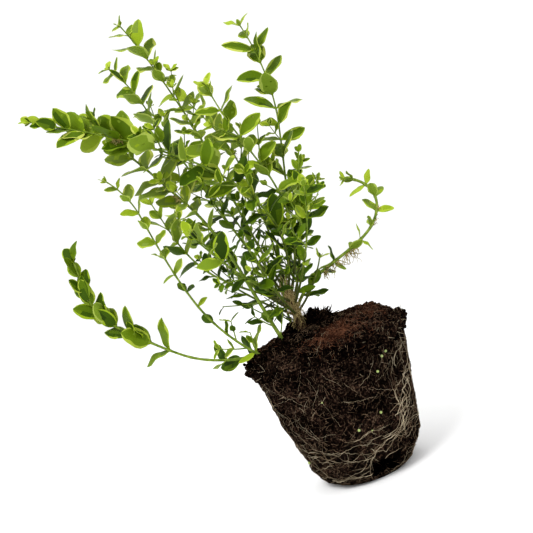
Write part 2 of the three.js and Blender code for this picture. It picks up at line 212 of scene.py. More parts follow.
def crown_point(height, foot):
    """The middle of the crown at a height."""
    share = max(0.0, (height - foot) / (CROWN_TOP - foot))
    return Vector((CROWN_X - CROWN_DRIFT * share, CROWN_Y, height))


def shoot_foot(plan):
    """Where a shoot starts: on the crown, or in the compost where its solid stands."""
    first = heading(plan, 0)
    if plan["fork"]:
        crown_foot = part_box("woody_crown")[0].z / MM
        side = Vector((first.x, first.y, 0)).normalized()
        return crown_point(plan["fork"], crown_foot) + side * FORK_OFFSET
    tilt = math.sqrt(max(0.0, 1 - first.z * first.z))
    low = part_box(plan["name"] + "_bough")[0].z / MM + plan["radius"] * tilt
    return Vector((plan["foot"][0], plan["foot"][1], low))


def shoot_trace(plan):
    """The path of a shoot, one point a step."""
    trace = [shoot_foot(plan)]
    for i in range(PATH_STEPS):
        step = heading(plan, (i + 0.5) / PATH_STEPS) * (plan["length"] / PATH_STEPS)
        trace.append(trace[i] + step)
    return trace


for planned in SHOOTS:
    planned["trace"] = shoot_trace(planned)


def point_at(plan, distance):
    """The point of a shoot at a distance from its foot."""
    place = distance / plan["length"] * PATH_STEPS
    low = int(clamp(math.floor(place), 0, PATH_STEPS - 1))
    return plan["trace"][low].lerp(plan["trace"][low + 1], place - low)


def shoot_radius(plan, distance):
    """The radius of a shoot at a distance from its foot."""
    left = mix(1, plan["tip"], clamp(distance / plan["length"], 0, 1) ** 0.8)
    return BARK_SHARE * plan["radius"] * left


def opening(along, turn, angle):
    """The direction that opens from a stem by an angle, and the upper side there."""
    across = BACKWARD.cross(along).normalized()
    over = along.cross(across).normalized()
    out = across * math.cos(turn) + over * math.sin(turn)
    ahead = out * math.sin(angle) + along * math.cos(angle)
    return ahead, along * math.sin(angle) - out * math.cos(angle)


def shade_at(point):
    """How deep a point lies in the shaded lower middle of the plant, from 0 to 1."""
    away = math.sqrt(sum(((point[k] - SHADE_MIDDLE[k]) / SHADE_REACH[k]) ** 2 for k in range(3)))
    return clamp(1.3 - away, 0, 1)


def leaf_at(root, along, turn, angle, length, tilt, young, share, lift=USUAL_SHOOT["lift"]):
    """One leaf of a pair, its upper face turned towards the light."""
    ahead, upper = opening(along, turn, angle + EXTRA_SPREAD)
    ahead = ahead + UPWARD * lift
    ahead.y *= FLATNESS
    ahead.normalize()
    turned = TO_THE_LIGHT * (1 - 0.75 * min(1, 1.6 * shade_at(root)))
    face = upper + UPWARD * 0.35 + BACKWARD * (tilt - turned - 0.4 * share)
    face = (face - ahead * face.dot(ahead)).normalized()
    return {"root": root, "ahead": ahead, "face": face, "length": length, "young": young, "share": share}


def twig_plan(root, along, turn, length, leaf_length, draw, share):
    """A side shoot with two pairs of leaves, by the rule of the solids."""
    way = (opening(along, turn, math.radians(42))[0] + UPWARD * 0.2).normalized()
    tip = root + way * length
    leaves = []
    for pair in (1, 2):
        spot = root.lerp(tip, pair / 2 - 0.03)
        spin = turn + pair * math.pi / 2 + draw()
        for half in PAIR:
            spread = math.radians(LEAF_SPREAD * 0.85 + SPREAD_SWING * (draw() - 0.5))
            size = leaf_length * mix(1, 0.7, pair / 2) * mix(0.8, 1.15, draw())
            tilt = LEAF_TILT * (draw() - 0.5)
            leaves.append(leaf_at(spot, way, spin + half, spread, size, tilt, 0.75, share))
    return {"root": root, "tip": tip, "way": way, "leaves": leaves, "radius": 0.55}


def ripeness(plan, distance):
    """How grown the leaves are at a distance along a crowded shoot, 1 where they are full size."""
    return mix(plan["tender"], 1, smoothstep(plan["length"] - distance, 4, 46))


def growth_plan(plan, index):
    """The leaf pairs and side shoots of one shoot, drawn in the order of the solids."""
    draw = number_stream(*GROWTH_STREAM, index).__next__
    nodes = []
    reached = plan["bare"] + 6
    while reached < plan["length"] - 4:
        nodes.append(reached)
        reached += LEAF_SPACING * mix(0.85, 1.15, draw()) * mix(1, 0.62, reached / plan["length"])
    nodes.append(plan["length"] - 1)
    start = TURN * draw()
    grown = []
    for i, distance in enumerate(nodes):
        share = distance / plan["length"]
        closed = share > plan["crowded"]
        tender = mix(0.36, 1, min(1, (len(nodes) - 1 - i) / 5))
        young = ripeness(plan, distance) if closed else mix(0.5, 1, min(1, (len(nodes) - 1 - i) / 2))
        turn = start + i * math.pi / 2
        along = heading(plan, share)
        root = point_at(plan, distance)
        leaves = []
        for half in PAIR:
            swing = math.radians(60) * (draw() - 0.5)
            angle = math.radians(LEAF_SPREAD * mix(0.6, 1, tender) + SPREAD_SWING * (draw() - 0.5) * 2)
            length = plan["leaf"] * plan["small"] * young * mix(0.78, 1.15, draw())
            tilt = LEAF_TILT * (draw() - 0.5)
            if closed:
                angle, tilt, swing = angle - CLOSE_SET, tilt - 0.6, swing * 1.7
            leaves.append(leaf_at(root, along, turn + half + swing, angle, length, tilt, young, share,
                                  plan["lift"]))
        grows = draw() < plan["twigs"] and share < 0.75
        twig_turn = turn + (0 if draw() < 0.5 else math.pi) + 0.5
        twig_length = TWIG_LENGTH * mix(0.7, 1.25, draw())
        twig = None
        if grows:
            twig = twig_plan(root, along, twig_turn, twig_length, plan["leaf"] * 0.62, draw, share)
        grown.append({"distance": distance, "share": share, "turn": turn, "along": along,
                      "root": root, "leaves": leaves, "twig": twig})
    return grown


def low_leaves(plan, draw):
    """The slim leaves left on the bare limb, some of them already lost."""
    leaves = []
    kept = 0.76 if plan["fork"] else 0.8
    reached = 13 if plan["fork"] else 9
    turn = TURN * draw()
    while reached < plan["bare"] + 2:
        share = reached / plan["length"]
        for half in PAIR:
            length = plan["leaf"] * mix(0.7, 1.15, draw())
            spread = math.radians(mix(38, 66, draw()))
            tilt = draw() - 0.5
            if draw() < kept:
                leaves.append(leaf_at(point_at(plan, reached), heading(plan, share), turn + half,
                                      spread, length, tilt, 1.0, share))
        reached += mix(8, 12, draw())
        turn += math.pi / 2 + mix(-0.4, 0.4, draw())
    return leaves


def low_twigs(plan, draw):
    """The short leafy twigs at the foot of a shoot that rises from the compost."""
    twigs = []
    if plan["foot"] and plan["twigs"] > 0:
        for reached in (7, 15, 24):
            share = reached / plan["length"]
            turn = math.pi * (draw() < 0.7) + mix(-0.9, 0.9, draw())
            twigs.append(twig_plan(point_at(plan, reached), heading(plan, share), turn,
                                   mix(13, 20, draw()), plan["leaf"] * 0.66, draw, share))
    return twigs


def finer_growth(plan, grown, index, chance):
    """Finer twigs in the axils that the solids leave empty, and young leaves at each tip."""
    draw = number_stream(*FINER_STREAM, index).__next__
    leaves = low_leaves(plan, draw)
    twigs = low_twigs(plan, draw)
    for twig in twigs:
        leaves += twig["leaves"]
    for node, beyond in zip(grown, grown[1:]):
        distance = (node["distance"] + beyond["distance"]) / 2
        grown_up = plan["length"] - distance > 24
        if grown_up and node["share"] > plan["crowded"] and draw() < 0.6:
            share = distance / plan["length"]
            young = ripeness(plan, distance)
            for half in PAIR:
                length = plan["leaf"] * young * mix(0.7, 1.15, draw())
                spread = math.radians(46 + 36 * (draw() - 0.5))
                turn = node["turn"] + 0.8 + half + mix(-0.5, 0.5, draw())
                tilt = 1.4 * draw() - 1.2
                leaves.append(leaf_at(point_at(plan, distance), heading(plan, share), turn, spread, length,
                                      tilt, young, share, plan["lift"]))
    for node in grown:
        twig = node["twig"]
        leafy = plan["twigs"] > 0 and not plan["open_side"]
        if twig is None and leafy and node["share"] < 0.8 and draw() < chance:
            turn = node["turn"] + (0 if draw() < 0.5 else math.pi) + mix(-0.6, 0.6, draw())
            length = mix(11, 21, draw())
            twig = twig_plan(node["root"], node["along"], turn, length, plan["leaf"] * 0.5, draw,
                             node["share"])
            twig["radius"] = 0.42
            twigs.append(twig)
            leaves += twig["leaves"]
        if twig and not plan["open_side"]:
            turn = TURN * draw()
            for half in PAIR:
                size = plan["leaf"] * mix(0.24, 0.38, draw())
                leaves.append(leaf_at(twig["tip"], twig["way"], turn + half, math.radians(34), size,
                                      draw() - 0.5, 0.3, node["share"]))
    last = grown[-1]
    for half in PAIR:
        length = plan["leaf"] * 0.26 * mix(0.85, 1.15, draw())
        leaves.append(leaf_at(last["root"], last["along"], last["turn"] + 1.2 + half,
                              math.radians(26), length, 0.2, 0.15, 1.0))
    return leaves, twigs


def before_crown(leaf):
    """Whether a leaf would hang before the crown's foot, which stays open to view."""
    middle = leaf["root"] + leaf["ahead"] * leaf["length"] * 0.6
    aside = abs(middle.x - CROWN_X - 1)
    return aside < OPEN_WIDTH and middle.y < OPEN_DEPTH and middle.z < OPEN_HEIGHT


def inside_reach(leaf):
    """Whether the tip of a leaf stays within the reach of the solids, or a little past it."""
    tip = (leaf["root"] + leaf["ahead"] * leaf["length"]) * MM
    over = 4 * MM
    return all(CAD_LOW[k] - over <= tip[k] <= CAD_HIGH[k] + over for k in range(3))


def lost_share(leaf):
    """The share of leaves that the shade has lost at a leaf, most of them low down, but few right
    above the crown."""
    root = leaf["root"]
    low_down = mix(1, 0.5, smoothstep(root.z, *OPEN_BELOW))
    if abs(root.x - CROWN_X - 4) < ABOVE_CROWN_WIDTH and root.y < ABOVE_CROWN_DEPTH:
        low_down *= ABOVE_CROWN_LOST
    return LOST_SHARE * shade_at(root) * low_down


def whole_plant(chance):
    """Every shoot with its nodes, leaves and twigs."""
    plant = []
    for index, plan in enumerate(SHOOTS):
        grown = growth_plan(plan, index)
        leaves = [leaf for node in grown if node["distance"] > plan["first"]
                  for leaf in node["leaves"]]
        twigs = [node["twig"] for node in grown if node["twig"] and not plan["open_side"]]
        for twig in twigs:
            leaves += twig["leaves"]
        more_leaves, more_twigs = finer_growth(plan, grown, index, chance)
        leaves += [leaf for leaf in more_leaves if not before_crown(leaf)]
        lost = number_stream(*LOSS_STREAM, index).__next__
        leaves = [leaf for leaf in leaves if inside_reach(leaf) and lost() > lost_share(leaf)]
        for leaf in leaves:
            leaf["spray"] = index
            leaf["length"] *= 1 - SHADE_SHORTENS * shade_at(leaf["root"])
        plant.append({"plan": plan, "nodes": grown, "leaves": leaves, "twigs": twigs + more_twigs})
    return plant


# Colours and finishes
def tone(red, green, blue):
    """A colour from its three values out of 255."""
    parts = []
    for value in (red, green, blue):
        part = value / 255
        parts.append(part / 12.92 if part <= 0.04045 else ((part + 0.055) / 1.055) ** 2.4)
    return (*parts, 1.0)


def new_node(tree, kind, inputs, **settings):
    """The outputs of a new node, with each of its inputs linked to a socket or set to a value."""
    node = tree.nodes.new(kind)
    for label, value in settings.items():
        setattr(node, label, value)
    for label, value in inputs.items():
        if isinstance(value, bpy.types.NodeSocket):
            tree.links.new(value, node.inputs[label])
        else:
            node.inputs[label].default_value = value
    return node.outputs


def new_finish(name, roughness, specular):
    """A new opaque material and the inputs of its shader."""
    material = bpy.data.materials.new(name)
    material.use_nodes = True
    inputs = material.node_tree.nodes["Principled BSDF"].inputs
    inputs["Roughness"].default_value = roughness
    inputs["Specular IOR Level"].default_value = specular
    return material, inputs


def plain_finish(name, colour, roughness, specular):
    """A plain opaque finish, as for the small leaves whose colours are dealt out by spray."""
    material, inputs = new_finish(name, roughness, specular)
    inputs["Base Color"].default_value = colour
    return material


def noise_at(tree, place, scale, detail, rough=0.55):
    """A noise pattern on the piece's own coordinates, of about so many lumps a metre."""
    inputs = {"Vector": place, "Scale": scale, "Detail": detail, "Roughness": rough}
    return new_node(tree, "ShaderNodeTexNoise", inputs)["Fac"]


def ramp_of(tree, source, stops):
    """Colours along a value, from pairs of place and colour."""
    ramp = tree.nodes.new("ShaderNodeValToRGB")
    elements = ramp.color_ramp.elements
    for place, colour in stops[1:-1]:
        elements.new(place).color = colour
    for end in (0, -1):
        elements[end].position, elements[end].color = stops[end]
    tree.links.new(source, ramp.inputs["Fac"])
    return ramp.outputs["Color"]


def tinted(tree, amount, colour, tint):
    """A colour mixed towards a tint by an amount."""
    inputs = {"Factor": amount, "A": colour, "B": tint}
    return new_node(tree, "ShaderNodeMix", inputs, data_type="RGBA")["Result"]


def multiplied(tree, value, factor, added):
    """A value times a factor, with another one added."""
    inputs = {0: value, 1: factor, 2: added}
    return new_node(tree, "ShaderNodeMath", inputs, operation="MULTIPLY_ADD")["Value"]


# How far full clouds darken and lighten a grain
CLOUD_DARK, CLOUD_LIGHT = -0.56, 0.44


def clouded(tree, place, grain, clouds):
    """A grain that grows lighter and darker over a centimetre or two."""
    drift = {"Value": noise_at(tree, place, 75, 4), "To Min": CLOUD_DARK * clouds,
             "To Max": CLOUD_LIGHT * clouds}
    drifted = new_node(tree, "ShaderNodeMapRange", drift)["Result"]
    return new_node(tree, "ShaderNodeMath", {0: grain, 1: drifted})["Value"]


def with_age_and_shade(tree, place, colour, scale, aged_and_shaded):
    """A colour that turns in speckles to its old bark tint, which is partly painted shade, where the points
    carry a high value.
    """
    age_and_shade = new_node(tree, "ShaderNodeAttribute", {}, attribute_name="age_and_shade")["Fac"]
    speckle = multiplied(tree, noise_at(tree, place, scale * 2.3, 3), 0.7, -0.35)
    amount = new_node(tree, "ShaderNodeMath", {0: age_and_shade, 1: speckle}, use_clamp=True)["Value"]
    return tinted(tree, amount, colour, aged_and_shaded)


def with_patch(tree, place, colour, centre, reach, tint):
    """A colour with a ragged patch of a tint about a centre in millimetres."""
    ends = {0: place, 1: [value * MM for value in centre]}
    away = new_node(tree, "ShaderNodeVectorMath", ends, operation="DISTANCE")["Value"]
    ragged = multiplied(tree, noise_at(tree, place, 150, 5), reach * MM, away)
    edge = {"Value": ragged, "From Min": reach * MM * 1.3, "From Max": reach * MM * 0.9}
    return tinted(tree, new_node(tree, "ShaderNodeMapRange", edge)["Result"], colour, tint)


def grained_finish(name, stops, scale, roughness, bump, bump_scale, aged_and_shaded=None, patches=(), specular=0.3,
                   clouds=0.0):
    """A finish with a grain of colours and a fine relief, and with clouds, an old bark tint that is partly
    painted shade, or patches.
    """
    material, inputs = new_finish(name, roughness, specular)
    tree = material.node_tree
    place = new_node(tree, "ShaderNodeTexCoord", {})["Object"]
    grain = noise_at(tree, place, scale, 6)
    if clouds:
        grain = clouded(tree, place, grain, clouds)
    colour = ramp_of(tree, grain, stops)
    if aged_and_shaded:
        colour = with_age_and_shade(tree, place, colour, scale, aged_and_shaded)
    for patch in patches:
        colour = with_patch(tree, place, colour, *patch)
    relief = {"Strength": 1.0, "Distance": bump * MM, "Height": noise_at(tree, place, bump_scale, 5, 0.65)}
    tree.links.new(colour, inputs["Base Color"])
    tree.links.new(new_node(tree, "ShaderNodeBump", relief)["Normal"], inputs["Normal"])
    return material


def root_finish(name, dark, light, scale, roughness=0.9, specular=0.1, low=0.3):
    """The finish of roots and rootlets, from a dark tone to a light one."""
    stops = [(low, tone(*dark)), (0.62, tone(*light))]
    return grained_finish(name, stops, scale, roughness, 0.05, 900, specular=specular)


# Meshes
def new_piece(name, content):
    """A new object for a mesh, a lamp or a camera, placed in the scene."""
    piece = bpy.data.objects.new(name, content)
    bpy.context.collection.objects.link(piece)
    return piece


def mesh_object(name, points, faces, materials):
    """A mesh object at the origin, from points in millimetres."""
    mesh = bpy.data.meshes.new(name)
    mesh.from_pydata(np.asarray(points, float) * MM, [], faces)
    for material in materials:
        mesh.materials.append(material)
    return new_piece(name, mesh)


def finish_piece(piece, slot, replaced=()):
    """Gives a finished piece its body and hides the solids that it stands for. The slot is not used."""
    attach(piece, BODY)
    if replaced:
        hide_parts(*replaced)


def ring_faces(first, rings, sides):
    """The faces that join rings of points, each ring to the next."""
    faces = []
    for low in range(first, first + (rings - 1) * sides, sides):
        for k in range(sides):
            beside = (k + 1) % sides
            faces.append((low + k, low + beside, low + sides + beside, low + sides + k))
    return faces


def cross_frames(path):
    """Two directions square to each step of a path, turned as little as may be."""
    along = np.gradient(path, axis=0)
    along /= np.linalg.norm(along, axis=1, keepdims=True)
    guide = np.array([0.0, 1.0, 0.0]) if abs(along[0][1]) < 0.9 else np.array([1.0, 0.0, 0.0])
    across = np.cross(guide, along[0])
    frames = []
    for way in along:
        across = across - way * np.dot(across, way)
        across = across / np.linalg.norm(across)
        frames.append((across, np.cross(way, across)))
    return frames


class TubeBundle:
    """Closed tapering tubes, gathered into one mesh."""

    def __init__(self, seed):
        self.points = []
        self.faces = []
        self.ages_and_shade = []
        self.random = np.random.default_rng(seed)

    def add(self, path, radii, sides, ages_and_shade, relief=0.0):
        """One tube through the points of a path, closed at both ends."""
        path = np.array(path, float)
        frames = cross_frames(path)
        first = len(self.points)
        turns = np.arange(sides) * TURN / sides
        phase = self.random.uniform(0, TURN, 3)
        for i, (across, over) in enumerate(frames):
            ridge = np.sin(2 * turns + phase[0] + i * 0.11) + np.sin(3 * turns + phase[1] - i * 0.17)
            rough = self.random.uniform(-1, 1, sides)
            wide = radii[i] * (1 + relief * (0.5 * ridge + 0.6 * rough))
            ring = path[i] + np.outer(wide * np.cos(turns), across) + np.outer(wide * np.sin(turns), over)
            self.points.extend(ring)
            self.ages_and_shade.extend([ages_and_shade[i]] * sides)
        self.faces += ring_faces(first, len(path), sides)
        last = first + (len(path) - 1) * sides
        self.faces.append(tuple(first + k for k in reversed(range(sides))))
        self.faces.append(tuple(last + k for k in range(sides)))

    def made(self, name, material):
        """The gathered tubes as one object."""
        piece = mesh_object(name, self.points, self.faces, [material])
        piece.data.attributes.new("age_and_shade", "FLOAT", "POINT").data.foreach_set("value", self.ages_and_shade)
        piece.data.shade_smooth()
        piece.data.set_sharp_from_angle(angle=math.radians(70))
        return piece


# Node trees for what repeats
def new_tree(name, inputs):
    """An empty tree of geometry nodes with its named inputs."""
    tree = bpy.data.node_groups.new(name, "GeometryNodeTree")
    for label, kind in {"Geometry": "Geometry", **inputs}.items():
        tree.interface.new_socket(label, in_out="INPUT", socket_type="NodeSocket" + kind)
    tree.interface.new_socket("Geometry", in_out="OUTPUT", socket_type="NodeSocketGeometry")
    return tree, tree.nodes.new("NodeGroupInput").outputs


def thickness_at(tree):
    """The thickness that the points of the mesh carry."""
    inputs = {"Name": "thick"}
    return new_node(tree, "GeometryNodeInputNamedAttribute", inputs, data_type="FLOAT")["Attribute"]


def end_tree(tree, geometry, finish):
    """Ends a tree with smooth shading, real geometry and its finish."""
    smooth = new_node(tree, "GeometryNodeSetShadeSmooth", {0: geometry})[0]
    real = new_node(tree, "GeometryNodeRealizeInstances", {0: smooth})[0]
    made = new_node(tree, "GeometryNodeSetMaterial", {"Geometry": real, "Material": finish})[0]
    new_node(tree, "NodeGroupOutput", {0: made})
    return tree


def fibre_tree():
    """Turns lines into fibres, each as thick as its points say."""
    tree, start = new_tree("Fibre growth", {"Sides": "Int", "Finish": "Material"})
    line = new_node(tree, "GeometryNodeMeshToCurve", {"Mesh": start["Geometry"]})["Curve"]
    ring = {"Resolution": start["Sides"], "Radius": MM}
    ring = new_node(tree, "GeometryNodeCurvePrimitiveCircle", ring)["Curve"]
    sweep = {"Curve": line, "Profile Curve": ring, "Scale": thickness_at(tree), "Fill Caps": True}
    return end_tree(tree, new_node(tree, "GeometryNodeCurveToMesh", sweep)["Mesh"], start["Finish"])


def crumb_tree():
    """Sets a lumpy crumb on every point, each as large as its point says."""
    inputs = {"Lumpiness": "Float", "Seed": "Int", "Detail": "Int", "Finish": "Material"}
    tree, start = new_tree("Crumb growth", inputs)
    ball = {"Subdivisions": start["Detail"], "Radius": MM}
    ball = new_node(tree, "GeometryNodeMeshIcoSphere", ball)["Mesh"]
    spin = {"Seed": start["Seed"], "Max": (TURN, TURN, TURN)}
    spin = new_node(tree, "FunctionNodeRandomValue", spin, data_type="FLOAT_VECTOR")[0]
    spread = {"Points": start["Geometry"], "Instance": ball, "Rotation": spin, "Scale": thickness_at(tree)}
    spread = new_node(tree, "GeometryNodeInstanceOnPoints", spread)["Instances"]
    real = new_node(tree, "GeometryNodeRealizeInstances", {"Geometry": spread})["Geometry"]
    pattern = new_node(tree, "ShaderNodeTexNoise", {"Scale": 420})["Color"]
    centred = {0: pattern, 1: (0.5, 0.5, 0.5)}
    centred = new_node(tree, "ShaderNodeVectorMath", centred, operation="SUBTRACT")["Vector"]
    lump = {0: centred, "Scale": start["Lumpiness"]}
    lump = new_node(tree, "ShaderNodeVectorMath", lump, operation="SCALE")["Vector"]
    moved = new_node(tree, "GeometryNodeSetPosition", {"Geometry": real, "Offset": lump})["Geometry"]
    return end_tree(tree, moved, start["Finish"])


def settle(source, tree, values, name):
    """Runs a tree on a mesh and keeps the result as a plain mesh."""
    modifier = source.modifiers.new("Growth", "NODES")
    modifier.node_group = tree
    for socket in tree.interface.items_tree:
        if socket.in_out == "INPUT" and socket.name in values:
            modifier[socket.identifier] = values[socket.name]
    graph = bpy.context.evaluated_depsgraph_get()
    made = bpy.data.meshes.new_from_object(source.evaluated_get(graph))
    made.name = name
    bpy.data.objects.remove(source)
    if not made.polygons:
        raise RuntimeError(f"{name} came out empty")
    return new_piece(name, made)


class PointBundle:
    """Lines or single points with a thickness at each, for a node tree to grow on."""

    def __init__(self):
        self.points = []
        self.edges = []
        self.thick = []

    def line(self, path, thickness, taper=0.3):
        """One line, thinner towards its far end, and a long one thin at its start too."""
        first = len(self.points)
        count = len(path)
        for i, point in enumerate(path):
            self.points.append(tuple(value * MM for value in point))
            begun = min(1, (i + 1) / 4) if count > 8 else 1
            self.thick.append(thickness * begun * mix(1, taper, i / (count - 1)))
            if i:
                self.edges.append((first + i - 1, first + i))

    def point(self, point, thickness):
        """One single point."""
        self.points.append(tuple(value * MM for value in point))
        self.thick.append(thickness)

    def grown(self, name, tree, values, slot):
        """Makes a piece of what the tree grows on the gathered lines or points."""
        mesh = bpy.data.meshes.new(name + "_lines")
        mesh.from_pydata(self.points, self.edges, [])
        mesh.attributes.new("thick", "FLOAT", "POINT").data.foreach_set("value", self.thick)
        finish_piece(settle(new_piece(name + "_lines", mesh), tree, values, name), slot)

    def fibres(self, name, finish, slot, sides=4):
        """Makes a piece of fibres along the gathered lines."""
        self.grown(name, fibre_tree(), {"Sides": sides, "Finish": finish}, slot)

    def crumbs(self, name, finish, lumpiness, seed, detail):
        """Makes a piece of crumbs on the gathered points."""
        values = {"Lumpiness": lumpiness, "Seed": seed, "Detail": detail, "Finish": finish}
        self.grown(name, crumb_tree(), values, "compost")


# The root ball's surface
def ball_lumps(turn, height):
    """The slow swell of the ball's side, as the solid has it."""
    slow = math.sin(3 * turn + 0.6 + height / 21) + 0.7 * math.sin(5 * turn + 2.1 - height / 13)
    quick = math.sin(11 * turn + height / 5) + math.sin(8 * turn - height / 7 + 1.3)
    return 0.6 * slow + 0.4 * quick


def lip_share(height):
    """How far a height lies up in the ball's ragged lip, from 0 to 1."""
    return smoothstep(height, 84, 92)


def ball_point(turn, reach, height):
    """A point of the ball's surface at a turn, from the profile's reach and height."""
    rough = mix(1.1, 2.2, lip_share(height))
    share = smoothstep(height, 0, 20) * smoothstep(reach, 8, 40)
    wide = reach + rough * share * ball_lumps(turn, height)
    x, y, z = wide * math.cos(turn), wide * math.sin(turn), height
    top = smoothstep(height, 97, 105)
    for heap_x, heap_y, spread, rise in HEAPS:
        z += top * rise * math.exp(-((x - heap_x) ** 2 + (y - heap_y) ** 2) / spread ** 2)
    inward = 0.0
    for hole_x, hole_y, hole_z, spread, depth in HOLLOWS:
        away = ((x - hole_x) ** 2 + (y - hole_y) ** 2 + (z - hole_z) ** 2) / spread ** 2
        inward += depth * math.exp(-away)
    scale = 1 - inward / reach if height > 0 and reach > 0 else 1
    return Vector((x * scale, y * scale, z))


# The broken hole at the ball's lower edge: its middle, its size, how high it goes and how far in
BITE = Vector((7, -36, 9))
BITE_SIZE = (9, 14, 6)
BITE_BELOW, BITE_INWARD = 30, 15


def bite_depth(point):
    """How far the broken hole at the lower edge reaches in at a point, from 0 to 1."""
    apart = point - BITE
    away = math.sqrt(sum((apart[k] / BITE_SIZE[k]) ** 2 for k in range(3)))
    return smoothstep(1.12 - away + 0.3 * noise.noise(point * 0.35), 0.0, 0.3)


def crumble(point, out, height):
    """A point moved in and out by the crumbs of the compost, more at the lip and the top."""
    coarse = noise.fractal(point * 0.085, 0.9, 2.1, 3)
    fine = noise.fractal(point * 0.42 + Vector((7, 3, 1)), 0.7, 2.0, 3)
    pits = noise.fractal(point * 0.19 + Vector((1, 9, 4)), 0.8, 2.0, 2)
    move = mix(1.0, 2.5, lip_share(height)) * (0.9 * coarse + 0.75 * fine - 0.9 * max(0.0, pits - 0.15))
    moved = point + out * clamp(move, -3.5, 2.6)
    if height < BITE_BELOW:
        inward = Vector((-point.x, -point.y, 0)).normalized()
        moved = moved + inward * BITE_INWARD * bite_depth(point)
    return moved


def profile_points(step):
    """The profile in steps of about the same length, with the outward direction at each."""
    spots = []
    for (r0, h0), (r1, h1) in zip(BALL_PROFILE, BALL_PROFILE[1:]):
        span = math.hypot(r1 - r0, h1 - h0)
        count = max(1, round(span / step))
        out = ((h1 - h0) / span, -(r1 - r0) / span)
        for i in range(count):
            spots.append((mix(r0, r1, i / count), mix(h0, h1, i / count), out))
    spots.append((*BALL_PROFILE[-1], (0.0, 1.0)))
    return spots


# The ball's side as steps of a millimetre up its profile, which roots follow in longer steps
SKIN_STEP = 1.0
SKIN = profile_points(SKIN_STEP)
WALK_STEP = 1.6
UNDERSIDE_RINGS = 9
# The middle of the black heap on the top, and how many crumbs, hairs and roots lie where
HEAP = (-2, 1)
HEAP_CRUMBS, LIP_CRUMBS, COLLAR_CRUMBS = 210, 240, 70
HEAP_HAIRS, LIP_HAIRS, LIP_ROOTS = 170, 90, 150
LONG_ROOTS, CIRCLING_ROOTS = 110, 34
# Patches of coir: the turn and its spread in degrees, the distance up the profile, and how many
COIR_PATCHES = ((-82, 15, 122, 480), (-10, 38, 128, 420), (140, 30, 122, 260))


def crumbled_point(turn, reach, height, out):
    """A point of the crumbled surface, and the outward direction there."""
    direction = Vector((math.cos(turn) * out[0], math.sin(turn) * out[0], out[1]))
    spot = ball_point(turn, reach, height)
    return crumble(spot, direction * smoothstep(height, -0.1, 3), height), direction


def skin_point(turn, along, above):
    """A point a little above the ball's skin, at a distance up the profile from the bottom edge."""
    spot, direction = crumbled_point(turn, *SKIN[int(clamp(along / SKIN_STEP, 0, len(SKIN) - 1))])
    spot = spot + direction * above
    return Vector((spot.x, spot.y, max(0.2, spot.z)))


def clear_of_bite(path):
    """Whether a root stays off the broken hole."""
    return all(bite_depth(spot) < 0.1 or math.hypot(spot.x, spot.y) > 60 for spot in path)


def along_at(height):
    """The distance up the profile at a height of the ball's side."""
    return next(i for i, spot in enumerate(SKIN) if spot[1] >= height) * SKIN_STEP


def soil_mesh(name, turns, step, material):
    """The ball's whole surface as one closed mesh."""
    spots = profile_points(step)
    circle = [TURN * k / turns for k in range(turns)]
    points = [(0, 0, 0)]
    for reach in np.linspace(3, 27, UNDERSIDE_RINGS):
        for turn in circle:
            x, y = reach * math.cos(turn), reach * math.sin(turn)
            points.append((x, y, max(0.0, 0.8 * noise.fractal(Vector((x, y, 0)) * 0.2, 0.8, 2.0, 3))))
    for i, (reach, height, out) in enumerate(spots):
        ahead = spots[min(i + 3, len(spots) - 1)][2]
        between = (out[0] + ahead[0]) / 2, (out[1] + ahead[1]) / 2
        for turn in circle:
            spot, _ = crumbled_point(turn, reach, height, between)
            points.append((spot.x, spot.y, max(0.0, spot.z)))
    points.append((0, 0, points[-1][2]))
    rings = UNDERSIDE_RINGS + len(spots)
    last = 1 + (rings - 1) * turns
    faces = [(0, 1 + (k + 1) % turns, 1 + k) for k in range(turns)]
    faces += ring_faces(1, rings, turns)
    faces += [(last + k, last + (k + 1) % turns, len(points) - 1) for k in range(turns)]
    piece = mesh_object(name, points, faces, [material])
    piece.data.shade_smooth()
    return piece


def skin_walk(random, turn, along, way, length, above, wander):
    """A wandering line on the ball's skin, from a turn and a distance up the profile."""
    path = []
    bend = 0.0
    top = len(SKIN) * SKIN_STEP - 6
    for _ in range(max(3, int(length / WALK_STEP))):
        path.append(skin_point(turn, clamp(along, 1, top), above + random.uniform(-0.25, 0.25)))
        bend = 0.7 * bend + random.normal(0, wander)
        way += bend
        turn += math.cos(way) * WALK_STEP / max(8, SKIN[int(clamp(along, 0, top))][0])
        along += math.sin(way) * WALK_STEP
        if along < 1 or along > top:
            way = -way
    return path


def standing_hair(random, turn, along, rise, sway, bend):
    """A hair that stands off the ball's skin and sways to a side."""
    start, end = skin_point(turn, along, -0.5), skin_point(turn, along, random.uniform(*rise))
    aside = Vector(random.normal(0, sway, 3))
    return [start, start.lerp(end, 0.5) + aside * bend, end + aside]


def drooping_hair(random, start, way, sway, droop, stride=None):
    """A hair of seven strides, each of them turned a little at random and downwards. Where no
    stride is given, each has a length of its own."""
    path = [start]
    for _ in range(7):
        way = (way + Vector(random.normal(0, sway, 3)) - UPWARD * droop).normalized()
        path.append(path[-1] + way * (stride or random.uniform(0.5, 1.3)))
    return path


def scattered_roots(random, bundle, count, along, length, above, wander, thickness, taper=0.3):
    """Wandering roots all round the ball, between two distances up the profile."""
    for _ in range(count):
        path = skin_walk(random, random.uniform(0, TURN), random.uniform(*along),
                         random.uniform(0, TURN), random.uniform(*length), above, wander)
        if clear_of_bite(path):
            bundle.line(path, random.uniform(*thickness), taper)


# The share of its way at which a circling root turns from the right side round the front
ROUND_FROM = 0.35


